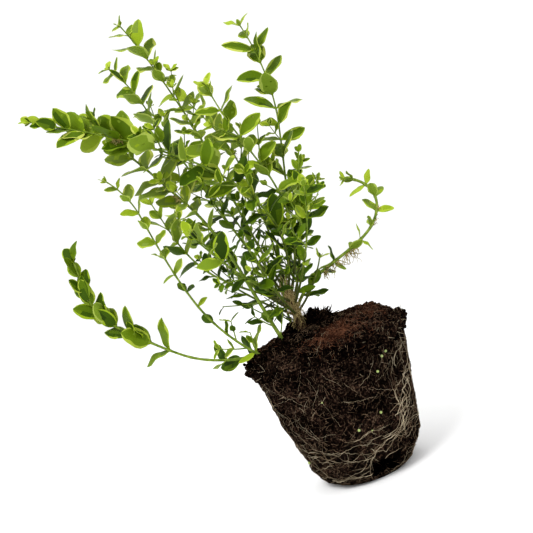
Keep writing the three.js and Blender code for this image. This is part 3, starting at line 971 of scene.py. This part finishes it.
def circling_root(random, start, end):
    """A pale root that runs down the right side and then round the front near the bottom."""
    shift = math.radians(random.normal(0, 7))
    drop = random.normal(0, 5 if start > 0 else 10)
    phase = random.uniform(0, TURN, 2)
    path = []
    for share in np.linspace(start, end, max(4, int((end - start) * 90))):
        if share < ROUND_FROM:
            turn, height = mix(-31, -58, share / ROUND_FROM), mix(59, 27, share / ROUND_FROM)
        else:
            around = (share - ROUND_FROM) / 0.65
            turn = mix(-58, -168, around)
            height = 27 - 9 * math.sin(math.pi * around) + 14 * around
        turn = math.radians(turn + 3.4 * math.sin(share * 37 + phase[0])) + shift
        height += drop + 1.6 * math.sin(share * 43 + phase[1])
        path.append(skin_point(turn, along_at(clamp(height, 2, 80)), 0.4 + random.uniform(-0.2, 0.3)))
    return path


# Leaves: the stations from stalk to tip, and the kinds of points and faces across a leaf
STATIONS = np.array([0.0, 0.1, 0.21, 0.36, 0.52, 0.68, 0.84, 1.0])
HALVES = (STATIONS[:-1] + STATIONS[1:]) / 2
MIDRIB, BOUNDARY, EDGE, UNDER_MIDRIB, UNDER_BOUNDARY = range(5)
STALK, CENTRE, MARGIN, UNDER_CENTRE, UNDER_MARGIN = range(5)
COLUMNS = (
    (0, MIDRIB), (1, BOUNDARY), (-1, BOUNDARY), (1, EDGE), (-1, EDGE),
    (0, UNDER_MIDRIB), (1, UNDER_BOUNDARY), (-1, UNDER_BOUNDARY),
)


def leaf_template():
    """The points of a leaf by share, side, kind and station, and its faces with their kinds."""
    rows = []
    for i, share in enumerate(STATIONS[:-1]):
        rows += [(share, side, kind, i) for side, kind in COLUMNS]
    halves = len(rows)
    for i, share in enumerate(HALVES):
        rows += [(share, side, EDGE, i) for side in (1, -1)]
    tip = len(rows)
    rows.append((1.0, 0, MIDRIB, len(STATIONS) - 2))
    faces = [((5, 7, 4, 2, 0, 1, 3, 6), STALK)]
    for i in range(len(STATIONS) - 1):
        low = 8 * i
        high = [tip] * 8 if i == len(STATIONS) - 2 else [low + 8 + k for k in range(8)]
        left, right = halves + 2 * i, halves + 2 * i + 1
        ring = [
            ((low, high[0], high[1], low + 1), CENTRE),
            ((low + 2, high[2], high[0], low), CENTRE),
            ((low + 1, high[1], high[3], left, low + 3), MARGIN),
            ((low + 4, right, high[4], high[2], low + 2), MARGIN),
            ((low + 3, left, high[3], high[6], low + 6), UNDER_MARGIN),
            ((low + 7, high[7], high[4], right, low + 4), UNDER_MARGIN),
            ((low + 6, high[6], high[5], low + 5), UNDER_CENTRE),
            ((low + 5, high[5], high[7], low + 7), UNDER_CENTRE),
        ]
        for corners, kind in ring:
            single = tuple(dict.fromkeys(corners))
            faces.append((single, STALK if i == 0 else kind))
    shares, sides, kinds, stations = (np.array(column) for column in zip(*rows))
    return shares, sides, kinds, stations, faces


def blade_width(share):
    """The half width of a blade as a share of its widest, from stalk to tip."""
    place = np.clip((share - 0.08) / 0.92, 0, 1)
    return np.sin(np.pi * place ** 0.92) ** 0.6


def leaf_points(leaves, random, width_share):
    """The points of every leaf, folded, arched and waved each in its own way."""
    shares, sides, kinds, stations, _ = leaf_template()
    each = len(leaves), 1
    side = (sides > 0).astype(int)
    profile = blade_width(shares)
    root, ahead, face, length, young = (np.array([leaf[key] for leaf in leaves])[:, None]
                                        for key in ("root", "ahead", "face", "length", "young"))
    shade = np.array([shade_at(leaf["root"]) for leaf in leaves])[:, None]
    slim = np.array([SHOOTS[leaf["spray"]]["slim"] for leaf in leaves])[:, None]
    narrow = slim + 0.16 - random.uniform(0.15, 1.0, each) * shade
    widest = length * width_share / 2 * random.uniform(0.86, 1.12, each) * narrow
    half = widest * profile + (0.018 * length + 0.2) * np.clip(1 - shares, 0, 1)
    # The border between centre and margin is ragged, with a tongue of the margin here and there
    spots = len(leaves), len(STATIONS), 2
    border = random.uniform(0.68, 0.89, each) - 0.08 * (1 - young)
    border = border + random.normal(0, 0.06, spots)[:, stations, side]
    border = border - 0.24 * (random.random(spots) < 0.14)[:, stations, side]
    tooth = np.where(np.arange(len(shares)) >= len(COLUMNS) * (len(STATIONS) - 1), 1.012, 0.992)
    tooth = tooth + random.normal(0, 0.012, (len(leaves), len(shares)))
    at_border = (kinds == BOUNDARY) | (kinds == UNDER_BOUNDARY)
    outline = np.where(kinds == EDGE, tooth, 0.0)
    y = sides * half * np.where(at_border, np.clip(border, 0.36, 0.93), outline)
    fold = random.uniform(0.04, 0.32, each)
    arch = random.uniform(0.08, 0.6, each) * random.choice([1, 1, 1, -0.5], each) * (1 + shade)
    wave = random.uniform(0.0, 0.07, each) * length
    phase = random.uniform(0, TURN, each)
    across = np.abs(y) / widest
    z = fold * np.abs(y) - 0.1 * widest * across ** 2
    z += wave * np.sin(TURN * 1.4 * shares + phase + 1.5 * side) * across
    z -= np.where(kinds == MIDRIB, 0.012 * length, 0.0) * (shares < 1)
    z += np.where(at_border, 0.02 * length, 0.0) * profile
    z -= np.where(kinds >= UNDER_MIDRIB, 0.28 + 0.008 * length, 0.0)
    bend = arch * shares
    x = length * np.sin(bend) / arch + z * np.sin(bend)
    z = z * np.cos(bend) - length * (1 - np.cos(bend)) / arch
    return root + x[:, :, None] * ahead + y[:, :, None] * np.cross(face, ahead) + z[:, :, None] * face


# The deep green, the shaded green and the shaded margin are darker copies of the other tones, used mostly as
# painted shade in the shaded lower middle
LEAF_TONES = {
    "leaf_deep_green": (36, 56, 4),
    "leaf_green": (88, 112, 12),
    "leaf_grey_green": (108, 129, 44),
    "leaf_fresh_green": (128, 150, 28),
    "leaf_lime_margin": (146, 163, 52),
    "leaf_gold_margin": (170, 179, 78),
    "leaf_young": (150, 170, 46),
    "leaf_underside": (110, 134, 36),
    "leaf_underside_margin": (154, 172, 74),
    "leaf_shaded_margin": (80, 106, 12),
    "leaf_shaded_green": (50, 74, 4),
    "leaf_old_green": (73, 97, 8),
    "leaf_middle_green": (101, 124, 24),
}
# The numbers of the tones in that order, and a ladder of them from dark to light
DEEP, GREEN, GREY, FRESH, LIME, GOLD, YOUNG, UNDERSIDE, PALE_RIM, SHADED, DUSK, OLD, MIDDLE = range(13)
LADDER = [DEEP, DUSK, OLD, GREEN, MIDDLE, GREY, FRESH, YOUNG]
LIGHTER = dict(zip(LADDER, [*LADDER[1:], FRESH]))
DARKER = dict(zip(LADDER, [DEEP, *LADDER]))
# Leaves of this length in millimetres lie on top, where the painted shade doesn't darken them
TOP_LEAF = 24
SHADED_CHANCE, USUAL_CHANCE, STRAY_CHANCE = 1.35, 0.6, 0.12
STREAKS = ((LIGHTER, 0.45), (DARKER, 0.3))
YOUNG_BELOW = 0.62


def leaf_tones(leaf, random):
    """The colour numbers of one leaf's centre and margin, with painted shade on small leaves in the shaded
    lower middle.
    """
    plan = SHOOTS[leaf["spray"]]
    usual = np.random.default_rng(SEEDS["sprays"] + leaf["spray"]).choice([GREEN, GREY, MIDDLE, OLD])
    centre = usual if random.random() < USUAL_CHANCE else random.choice([MIDDLE, GREEN, GREY, FRESH])
    margin = random.choice([LIME, LIME, GOLD])
    small = clamp((TOP_LEAF - leaf["length"]) / 6, 0, 1)
    # Painted shade: small leaves deep in the shaded lower middle take the deep, shaded and old greens
    if random.random() < SHADED_CHANCE * shade_at(leaf["root"]) * small:
        choices = [DEEP, DEEP, DUSK, OLD], [SHADED, SHADED, DUSK, DUSK, OLD, FRESH]
    elif plan["pale"] and leaf["share"] > 0.5:
        choices = [FRESH, GREY, YOUNG], [YOUNG, FRESH]
    elif random.random() < plan["dark"]:
        choices = [DUSK, DUSK, OLD, GREEN], [FRESH, MIDDLE, LIME, MIDDLE]
    elif leaf["young"] < YOUNG_BELOW:
        choices = [FRESH, FRESH, YOUNG], [YOUNG, GOLD]
    else:
        return centre, margin
    return [random.choice(tones) for tones in choices]


def leaf_colours(leaves, random, faces):
    """The colour number of every face, dealt out by spray and by how young a leaf is, with painted shade on
    the faces of the shaded leaves.
    """
    kinds = np.array([kind for _, kind in faces])
    order = np.arange(len(faces)) - 1
    station, side = order // 8, order % 2
    parts = [kinds == CENTRE, kinds == MARGIN, kinds == UNDER_CENTRE, kinds == UNDER_MARGIN]
    numbers = np.zeros((len(leaves), len(faces)), int)
    for row, leaf in enumerate(leaves):
        centre, margin = leaf_tones(leaf, random)
        # A leaf whose centre has painted shade gets painted shade on its underside and its stray margin faces
        # too
        shaded = centre in (DEEP, DUSK)
        below = (LIGHTER[centre], SHADED) if shaded else (UNDERSIDE, PALE_RIM)
        line = np.select(parts, [centre, margin, *below], FRESH)
        stray = random.random(len(faces)) < STRAY_CHANCE
        line = np.where(parts[1] & stray, OLD if shaded else FRESH, line)
        for tints, chance in STREAKS:
            first, half = random.integers(1, 5), random.integers(0, 2)
            streak = (side == half) & (station >= first) & (station < first + random.integers(2, 5))
            if random.random() < chance:
                line = np.where(parts[0] & streak, tints[centre], line)
        numbers[row] = line
    return numbers


def leaf_object(name, leaves, seed, width_share, materials):
    """All the leaves of some shoots as one mesh."""
    random = np.random.default_rng(seed)
    faces = leaf_template()[4]
    points = leaf_points(leaves, random, width_share)
    per_leaf = points.shape[1]
    all_faces = []
    for row in range(len(leaves)):
        all_faces += [[row * per_leaf + corner for corner in corners] for corners, _ in faces]
    piece = mesh_object(name, points.reshape(-1, 3), all_faces, materials)
    numbers = leaf_colours(leaves, random, faces)
    piece.data.polygons.foreach_set("material_index", numbers.reshape(-1).astype(np.int32))
    piece.data.shade_smooth()
    piece.data.set_sharp_from_angle(angle=math.radians(48))
    return piece


# Settings that a user would change
def colour_setting(name, description, usual):
    """A colour that a user may change."""
    return bpy.props.FloatVectorProperty(
        name=name, description=description, subtype="COLOR", size=4, default=usual, min=0, max=1)


def count_setting(name, description, usual, least=0):
    """A number of points, roots or crumbs that a user may change."""
    return bpy.props.IntProperty(name=name, description=description, default=usual, min=least)


def share_setting(name, description, usual):
    """A share from 0 to 1 that a user may change."""
    return bpy.props.FloatProperty(
        name=name, description=description, subtype="FACTOR", default=usual, min=0, max=1)


class BallSettings(bpy.types.PropertyGroup):
    """Fineness, roots and colour of the root ball."""

    turns: count_setting("Turns", "Points round the ball", 300, least=60)
    step: bpy.props.FloatProperty(
        name="Step", description="Length of a face up the side", unit="LENGTH", precision=5,
        default=0.85 * MM, min=0.3 * MM)
    fibres: count_setting("Fibres", "Fine brown roots on the side", 4300)
    pale_roots: count_setting("Pale roots", "Pale roots on the side", 200)
    crumbs: count_setting("Crumbs", "Loose crumbs of compost", 520)
    soil: colour_setting("Soil", "Main colour of the compost", tone(15, 10, 7))


class CrownSettings(bpy.types.PropertyGroup):
    """Rootlets and colour of the woody crown."""

    rootlets: count_setting("Rootlets", "Dry rootlets on the crown", 620)
    bark: colour_setting("Bark", "Main colour of the old bark", tone(72, 54, 36))


class ShootSettings(bpy.types.PropertyGroup):
    """Twigs and colour of the shoots."""

    twig_chance: share_setting("Finer twigs", "Share of empty axils that grow a finer twig", 0.4)
    bark: colour_setting("Bark", "Main colour of the green bark", tone(97, 120, 31))


class LeafSettings(bpy.types.PropertyGroup):
    """The shape and surface of the leaves."""

    width: share_setting("Width", "Width of a leaf as a share of its length", 0.5)
    roughness: share_setting("Roughness", "Roughness of the leaf surface", 0.46)


class StageSettings(bpy.types.PropertyGroup):
    """The stage's light and camera."""

    light: bpy.props.FloatProperty(
        name="Light", description="Power of the key lamp", unit="POWER", default=18.0, min=0)
    roll: bpy.props.FloatProperty(
        name="Roll", description="Turn of the camera about its line of sight", subtype="ANGLE",
        default=math.radians(20))


# Builders
class WINTERCREEPER_OT_root_ball(bpy.types.Operator):
    """Build the root ball with its crumbs, roots and feed beads"""

    bl_idname = "wintercreeper.root_ball"
    bl_label = "Root ball"

    def execute(self, context):
        """Builds every piece of the root ball."""
        settings = context.scene.wintercreeper_ball
        random = np.random.default_rng(SEEDS["ball"])
        stops = [(0.36, tone(2, 1, 1)), (0.51, tuple(settings.soil)), (0.61, tone(48, 33, 26)),
                 (0.74, tone(104, 84, 66))]
        # The last patch is painted shadow: near black over the lower front, in and round the broken hole at
        # the lower edge
        patches = [((6, -37, 106), 16, tone(48, 27, 18)), ((34, -6, 107), 22, tone(36, 21, 14)),
                   ((-15, -20, 108), 17, tone(5, 4, 3)), ((7, -26, 8), 26, tone(1, 1, 1))]
        soil = grained_finish("compost", stops, 680, 1.0, 1.8, 1000, patches=patches, specular=0.0,
                              clouds=0.5)
        ball = soil_mesh("root_ball_soil", settings.turns, settings.step / MM, soil)
        finish_piece(ball, "compost", ["root_ball"])
        self.crumbs(random, settings.crumbs, soil)
        self.hairs(random, soil)
        self.roots(random, settings)
        self.beads()
        return {"FINISHED"}

    def crumbs(self, random, count, soil):
        """Loose crumbs on the top, at the lip and in the black heap."""
        bundle = PointBundle()
        top, level = 44, 104.5
        for _ in range(count):
            turn = random.uniform(0, TURN)
            reach = 52 * math.sqrt(random.uniform(0, 1))
            if reach < top:
                spot = ball_point(turn, reach, level)
                spot.z = mix(110, 104, (reach / top) ** 2) + (spot.z - level)
            else:
                spot = ball_point(turn, 55.5, random.uniform(88, 99))
            bundle.point(spot, random.uniform(0.6, 2.0) * random.uniform(0.6, 1))
        for _ in range(HEAP_CRUMBS):
            away = random.normal(0, 3.6, 2) * (1.3, 0.9)
            height = 111 + random.uniform(0, 10) - 0.6 * np.abs(away).sum()
            bundle.point((HEAP[0] + away[0], HEAP[1] + away[1], height), random.uniform(0.5, 1.8))
        for _ in range(LIP_CRUMBS):
            turn, along = random.uniform(0, TURN), along_at(random.uniform(86, 98))
            bundle.point(skin_point(turn, along, random.uniform(-0.6, 0.9)), random.uniform(0.7, 2.1))
        self.collars(bundle)
        bundle.crumbs("loose_crumbs", soil, lumpiness=1.9 * MM, seed=5, detail=2)

    def collars(self, bundle):
        """Compost heaped round the foot of each shoot that rises from it."""
        random = np.random.default_rng(SEEDS["collars"])
        for plan in SHOOTS:
            for _ in range(COLLAR_CRUMBS if plan["foot"] else 0):
                turn, away = random.uniform(0, TURN), random.uniform(0.4, 3.6)
                ring = Vector((math.cos(turn), math.sin(turn), 0)) * (plan["radius"] + away)
                spot = point_at(plan, random.uniform(2.5, 7.5 - away)) + ring
                bundle.point(spot, random.uniform(0.6, 1.6))

    def hairs(self, random, soil):
        """Black peaty hairs that stand up from the heap and out from the lip."""
        bundle = PointBundle()
        for _ in range(HEAP_HAIRS):
            away = Vector((random.normal(0, 5.0), random.normal(0, 3.0), 0))
            start = Vector((HEAP[0], HEAP[1], 112)) + away
            rise = Vector((*random.normal(0, 2.6, 2), random.uniform(5, 12) - away.length * 0.6))
            end = start + away * 0.5 + rise
            middle = start.lerp(end, 0.6) + Vector(random.normal(0, 1.0, 3))
            bundle.line([start, middle, end], random.uniform(0.35, 0.9), 0.12)
        for _ in range(LIP_HAIRS):
            turn, along = random.uniform(0, TURN), along_at(random.uniform(88, 97))
            path = standing_hair(random, turn, along, (1, 4.5), 0.9, 0.5)
            bundle.line(path, random.uniform(0.15, 0.4), 0.2)
        bundle.fibres("black_hairs", soil, "compost")

    def roots(self, random, settings):
        """Fine brown roots all over, coir in three patches, and paler roots that circle low down."""
        whole = len(SKIN) * SKIN_STEP - 8
        fine, coir, light = PointBundle(), PointBundle(), PointBundle()
        scattered_roots(random, fine, settings.fibres, (2, whole), (3.5, 12), 0.2, 0.05, (0.05, 0.13))
        for middle, spread, up, amount in COIR_PATCHES:
            for _ in range(amount):
                path = skin_walk(random, math.radians(random.normal(middle, spread)), random.normal(up, 6.5),
                                 random.uniform(0, TURN), random.uniform(3, 8), 0.35, 0.1)
                coir.line(path, random.uniform(0.1, 0.2))
        for _ in range(settings.pale_roots):
            low = random.random() < 0.5
            along = random.uniform(8, 42) if low else random.uniform(8, whole)
            way = random.choice([0, math.pi]) + random.normal(0, 0.25) if low else random.uniform(0, TURN)
            length = random.uniform(16, 46) if low else random.uniform(5, 16)
            path = skin_walk(random, random.uniform(0, TURN), along, way, length, 0.3, 0.05)
            if clear_of_bite(path):
                light.line(path, random.uniform(0.07, 0.14) if low else random.uniform(0.05, 0.1))
        scattered_roots(random, light, LONG_ROOTS, (30, 92), (12, 30), 0.3, 0.03, (0.035, 0.07), 0.6)
        for _ in range(LIP_ROOTS):
            turn, along = random.uniform(0, TURN), random.uniform(80, 112)
            path = standing_hair(random, turn, along, (1.5, 6), 1.6, 0.4)
            light.line(path, random.uniform(0.07, 0.12))
        for _ in range(CIRCLING_ROOTS):
            start = random.uniform(-0.3, 0.8)
            path = circling_root(random, start, start + random.uniform(0.06, 0.24))
            if clear_of_bite(path) and start < ROUND_FROM:
                light.line(path, random.uniform(0.1, 0.25), 0.5)
            elif clear_of_bite(path) and random.random() < 0.5:
                light.line(path, random.uniform(0.07, 0.16), 0.5)
        for bundle, name, sides, *finish in (
            (coir, "coir_fibres", 3, "coir", (60, 33, 21), (116, 74, 52), 200, 0.95, 0.05),
            (light, "pale_roots", 4, "pale_root", (124, 106, 82), (212, 196, 164), 120, 0.7, 0.15),
            (fine, "fine_brown_roots", 3, "brown_root", (50, 36, 26), (136, 112, 88), 90, 0.9, 0.1),
        ):
            bundle.fibres(name, root_finish(*finish, low=0.35), "compost", sides)

    def beads(self):
        """Feed beads caught among the roots."""
        stops = [(0.4, tone(150, 168, 92)), (0.6, tone(172, 188, 112))]
        green = grained_finish("feed_bead", stops, 400, 0.35, 0.02, 600)
        bundle = PointBundle()
        for x, height, size in ((29, 81, 0.9), (32, 82.5, 0.9), (23, 72.5, 0.9), (18, 46, 0.9), (-1, 41, 0.9),
                                (8, 37, 0.5), (-18, 66, 0.5)):
            turn = -math.acos(x / mix(46, 53, height / 90))
            bundle.point(skin_point(turn, along_at(height), 0.4), size)
        for turn, height in ((0.6, 50), (1.4, 70), (2.3, 33), (3.1, 58), (3.6, 24), (2.0, 84)):
            bundle.point(skin_point(turn, along_at(height), 0.4), 0.9)
        bundle.crumbs("feed_beads", green, lumpiness=0.0, seed=2, detail=3)


class WINTERCREEPER_OT_crown(bpy.types.Operator):
    """Build the woody crown with its dry rootlets"""

    bl_idname = "wintercreeper.crown"
    bl_label = "Woody crown"

    def execute(self, context):
        """Builds the crown's bark and rootlets."""
        settings = context.scene.wintercreeper_crown
        random = np.random.default_rng(SEEDS["crown"])
        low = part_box("woody_crown")[0].z / MM
        heights = np.linspace(low, CROWN_TOP, 44)
        path = [crown_point(height, low) for height in heights]
        radii = []
        for height in heights:
            share = (height - low) / (CROWN_TOP - low)
            flare = CROWN_FLARE * math.exp(-2 * (height - low) / 7)
            radii.append((mix(*CROWN_RADII, share) + flare) * math.sqrt(max(0.04, 1 - share ** 10)))
        stops = [(0.3, tone(34, 24, 16)), (0.55, tuple(settings.bark)), (0.75, tone(140, 118, 84))]
        bark = grained_finish("old_bark", stops, 420, 0.9, 0.8, 800, specular=0.05)
        tube = TubeBundle(SEEDS["crown_bark"])
        tube.add(path, radii, 26, [1.0] * len(path), 0.07)
        finish_piece(tube.made("crown_bark", bark), "old_wood", ["woody_crown"])
        bundle = PointBundle()
        for _ in range(settings.rootlets):
            height = random.triangular(low + 3, CROWN_TOP - 8, CROWN_TOP + 10)
            turn = random.uniform(0, TURN)
            side = Vector((math.cos(turn), math.sin(turn), 0))
            spot = crown_point(height, low) + side * random.uniform(2.4, 3.3)
            outward = 0.9 if random.random() < 0.16 else 0.12
            way = (side * outward - UPWARD + Vector(random.normal(0, 0.35, 3))).normalized()
            hair = drooping_hair(random, spot, way, 0.32, 0.1)
            path = [spot for spot in hair if spot.z > low + 1]
            if len(path) > 2:
                bundle.line(path, random.uniform(0.08, 0.24), 0.5)
        dry = root_finish("dry_rootlet", (84, 66, 38), (204, 184, 124), 400)
        bundle.fibres("crown_rootlets", dry, "old_wood")
        return {"FINISHED"}


class WINTERCREEPER_OT_stems(bpy.types.Operator):
    """Build the shoots and twigs with their bark"""

    bl_idname = "wintercreeper.stems"
    bl_label = "Shoots and twigs"

    def execute(self, context):
        """Builds every shoot from foot to tip, and its twigs."""
        settings = context.scene.wintercreeper_shoots
        stops = [(0.3, tone(64, 86, 18)), (0.5, tuple(settings.bark)), (0.72, tone(134, 152, 62))]
        # The darker tint is partly the colour of old bark and partly painted shade that darkens the inner
        # stems
        bark = grained_finish("green_bark", stops, 260, 0.6, 0.12, 900, aged_and_shaded=tone(54, 56, 22), specular=0.1)
        shoots, twigs = TubeBundle(SEEDS["shoots"]), TubeBundle(SEEDS["twigs"])
        for grown in whole_plant(settings.twig_chance):
            self.add_shoot(shoots, grown)
            for twig in grown["twigs"]:
                shares = [i / 6 for i in range(7)]
                path = [twig["root"].lerp(twig["tip"], share) - UPWARD * (math.sin(share * math.pi) * 0.6)
                        for share in shares]
                twigs.add(path, [twig["radius"] * mix(1, 0.6, share) for share in shares], 6, [0.0] * 7)
        boughs = [plan["name"] + "_bough" for plan in SHOOTS]
        finish_piece(shoots.made("shoot_bark", bark), "green_stem", boughs)
        finish_piece(twigs.made("twig_bark", bark), "green_stem")
        return {"FINISHED"}

    def add_shoot(self, shoots, grown):
        """One shoot with a swelling at each node and older bark at its foot, its darker tint partly painted
        shade.
        """
        plan = grown["plan"]
        stops = np.linspace(0, plan["length"], int(plan["length"] / STEM_STEP))
        path = [point_at(plan, stop) for stop in stops]
        radii = []
        for stop in stops:
            swell = sum(math.exp(-((stop - node["distance"]) / 1.3) ** 2) for node in grown["nodes"])
            tip = math.sqrt(clamp((plan["length"] - stop) / 1.5, 0.1, 1))
            radii.append(shoot_radius(plan, stop) * (1 + 0.2 * min(swell, 1)) * tip)
        aged_and_shaded_up = OLD_AND_SHADED_BARK if plan["fork"] else OLD_AND_SHADED_BARK_LOW
        ages_and_shade = [clamp(1 - stop / aged_and_shaded_up, 0.05, 1) for stop in stops]
        if plan["foot"]:
            path.insert(0, path[0] - heading(plan, 0) * FOOT_SUNK)
            radii.insert(0, radii[0])
            ages_and_shade.insert(0, 1.0)
        shoots.add(path, radii, 8, ages_and_shade, 0.05)


class WINTERCREEPER_OT_rootlets(bpy.types.Operator):
    """Build the tufts of aerial rootlets on the shoots"""

    bl_idname = "wintercreeper.rootlets"
    bl_label = "Aerial rootlets"

    def execute(self, context):
        """Builds a tuft at each node that has rooted in air."""
        random = np.random.default_rng(SEEDS["rootlets"])
        plans = {plan["name"]: plan for plan in SHOOTS}
        bundle = PointBundle()
        tufts = [
            ("centre", 0.67, 5), ("upper_left", 0.5, 5), ("upper_left", 0.74, 4), ("long_arching", 0.76, 6),
            ("front_thick", 0.71, 6), ("front_thick", 0.47, 4), ("left_runner", 0.85, 3), ("back", 0.55, 5),
            ("right_runner", 0.36, 9), ("right_runner", 0.42, 11), ("right_runner", 0.5, 14),
            ("right_runner", 0.54, 9), ("right_runner", 0.7, 4), ("right_runner", 0.77, 3),
            ("back_runner", 0.4, 6), ("back_left", 0.5, 5), ("tall_left", 0.42, 4),
        ]
        for name, share, reach in tufts:
            plan = plans[name]
            for _ in range(20):
                middle = point_at(plan, share * plan["length"] + random.normal(0, 1.5))
                way = Vector(random.normal(0, 0.5, 3)) - UPWARD * 1.3 + heading(plan, share) * 0.3
                stride = reach / 7 * random.uniform(0.3, 1.1)
                hair = drooping_hair(random, middle, way.normalized(), 0.36, 0.08, stride)
                bundle.line(hair, random.uniform(0.2, 0.42), 0.5)
        dry = root_finish("aerial_root", (92, 80, 38), (172, 158, 96), 400)
        bundle.fibres("aerial_rootlets", dry, "old_wood")
        return {"FINISHED"}


class WINTERCREEPER_OT_leaves(bpy.types.Operator):
    """Build the leaves of every shoot and twig"""

    bl_idname = "wintercreeper.leaves"
    bl_label = "Leaves"

    def execute(self, context):
        """Builds the leaves in a few joined pieces."""
        settings = context.scene.wintercreeper_leaves
        materials = [plain_finish(name, tone(*colour), settings.roughness, 0.05)
                     for name, colour in LEAF_TONES.items()]
        plant = whole_plant(context.scene.wintercreeper_shoots.twig_chance)
        groups = [("upper_leaves", 0, 6), ("side_leaves", 6, 12), ("inner_leaves", 12, 18),
                  ("outer_leaves", 18, 23)]
        for seed, (name, first, last) in enumerate(groups, SEEDS["leaves"]):
            leaves = [leaf for grown in plant[first:last] for leaf in grown["leaves"]]
            piece = leaf_object(name, leaves, seed, settings.width, materials)
            finish_piece(piece, "leaf", [plan["name"] + "_foliage" for plan in SHOOTS[first:last]])
        return {"FINISHED"}


# The white floor and sky, and each lamp's place, size and share of the key lamp's power
FLOOR_WHITE = 0.93
SKY_STRENGTH = 1.08
LAMPS = (
    ("key_light", (-0.6, -0.9, 1.4), 0.6, 1),
    ("fill_light", (1.1, -0.9, 0.7), 1.0, 0.2),
    ("back_light", (0.3, 1.2, 1.0), 1.0, 0.2),
)
PLANT_MIDDLE = Vector((0, 0, 0.18))


class WINTERCREEPER_OT_stage(bpy.types.Operator):
    """Set the floor, the light and the camera"""

    bl_idname = "wintercreeper.stage"
    bl_label = "Stage"

    def execute(self, context):
        """Sets up the stage."""
        settings = context.scene.wintercreeper_stage
        context.scene.view_settings.view_transform = "Standard"
        white = plain_finish("stage_white", (FLOOR_WHITE, FLOOR_WHITE, FLOOR_WHITE, 1), 0.95, 0.0)
        corners = [(-4000, -4000, 0), (4000, -4000, 0), (4000, 4000, 0), (-4000, 4000, 0)]
        mesh_object("floor", corners, [(0, 1, 2, 3)], [white])
        world = context.scene.world or bpy.data.worlds.new("World")
        context.scene.world = world
        world.use_nodes = True
        sky = world.node_tree.nodes["Background"]
        sky.inputs["Color"].default_value = (1, 1, 1, 1)
        sky.inputs["Strength"].default_value = SKY_STRENGTH
        for name, place, size, share in LAMPS:
            lamp = bpy.data.lights.new(name, "AREA")
            lamp.size = size
            lamp.energy = settings.light * share
            light = new_piece(name, lamp)
            light.location = place
            aim = PLANT_MIDDLE - Vector(place)
            light.rotation_euler = aim.to_track_quat("-Z", "Y").to_euler()
        self.camera(context, settings.roll)
        return {"FINISHED"}

    def camera(self, context, roll):
        """The camera level with the plant, rolled as the view is."""
        lens = bpy.data.cameras.new("camera")
        lens.lens = 54.09
        lens.sensor_width = 36
        lens.clip_start = 0.01
        camera = new_piece("camera", lens)
        place, target = Vector((-0.021, -0.56, 0.185)), Vector((-0.021, 0, 0.15924))
        back = (place - target).normalized()
        right = UPWARD.cross(back).normalized()
        over = back.cross(right)
        rolled = Matrix((right * math.cos(roll) - over * math.sin(roll),
                         right * math.sin(roll) + over * math.cos(roll), back)).transposed()
        camera.matrix_world = Matrix.Translation(place) @ rolled.to_4x4()
        context.scene.camera = camera


class WINTERCREEPER_PT_panel(bpy.types.Panel):
    """Lists the builders of the plant"""

    bl_idname = "WINTERCREEPER_PT_panel"
    bl_label = "Wintercreeper"
    bl_space_type = "VIEW_3D"
    bl_region_type = "UI"
    bl_category = "Wintercreeper"

    def draw(self, context):
        """Draws the settings and the buttons."""
        for name, (group, builders) in SETTINGS.items():
            for label in group.__annotations__:
                self.layout.prop(getattr(context.scene, name), label)
            for builder in builders:
                self.layout.operator(builder.bl_idname)


SETTINGS = {
    "wintercreeper_ball": (BallSettings, [WINTERCREEPER_OT_root_ball]),
    "wintercreeper_crown": (CrownSettings, [WINTERCREEPER_OT_crown]),
    "wintercreeper_shoots": (ShootSettings, [WINTERCREEPER_OT_stems, WINTERCREEPER_OT_rootlets]),
    "wintercreeper_leaves": (LeafSettings, [WINTERCREEPER_OT_leaves]),
    "wintercreeper_stage": (StageSettings, [WINTERCREEPER_OT_stage]),
}
CLASSES = [item for group, builders in SETTINGS.values() for item in (group, *builders)]
CLASSES.append(WINTERCREEPER_PT_panel)


def register():
    """Registers the classes and hangs the settings on the scene."""
    for item in CLASSES:
        bpy.utils.register_class(item)
    for name, (group, _) in SETTINGS.items():
        setattr(bpy.types.Scene, name, bpy.props.PointerProperty(type=group))


def unregister():
    """Takes the settings and the classes away again."""
    for name in SETTINGS:
        delattr(bpy.types.Scene, name)
    for item in reversed(CLASSES):
        bpy.utils.unregister_class(item)


def main():
    """Builds the whole plant on its stage."""
    register()
    bpy.ops.wintercreeper.root_ball()
    bpy.ops.wintercreeper.crown()
    bpy.ops.wintercreeper.stems()
    bpy.ops.wintercreeper.rootlets()
    bpy.ops.wintercreeper.leaves()
    bpy.ops.wintercreeper.stage()


if __name__ == "__main__":
    main()
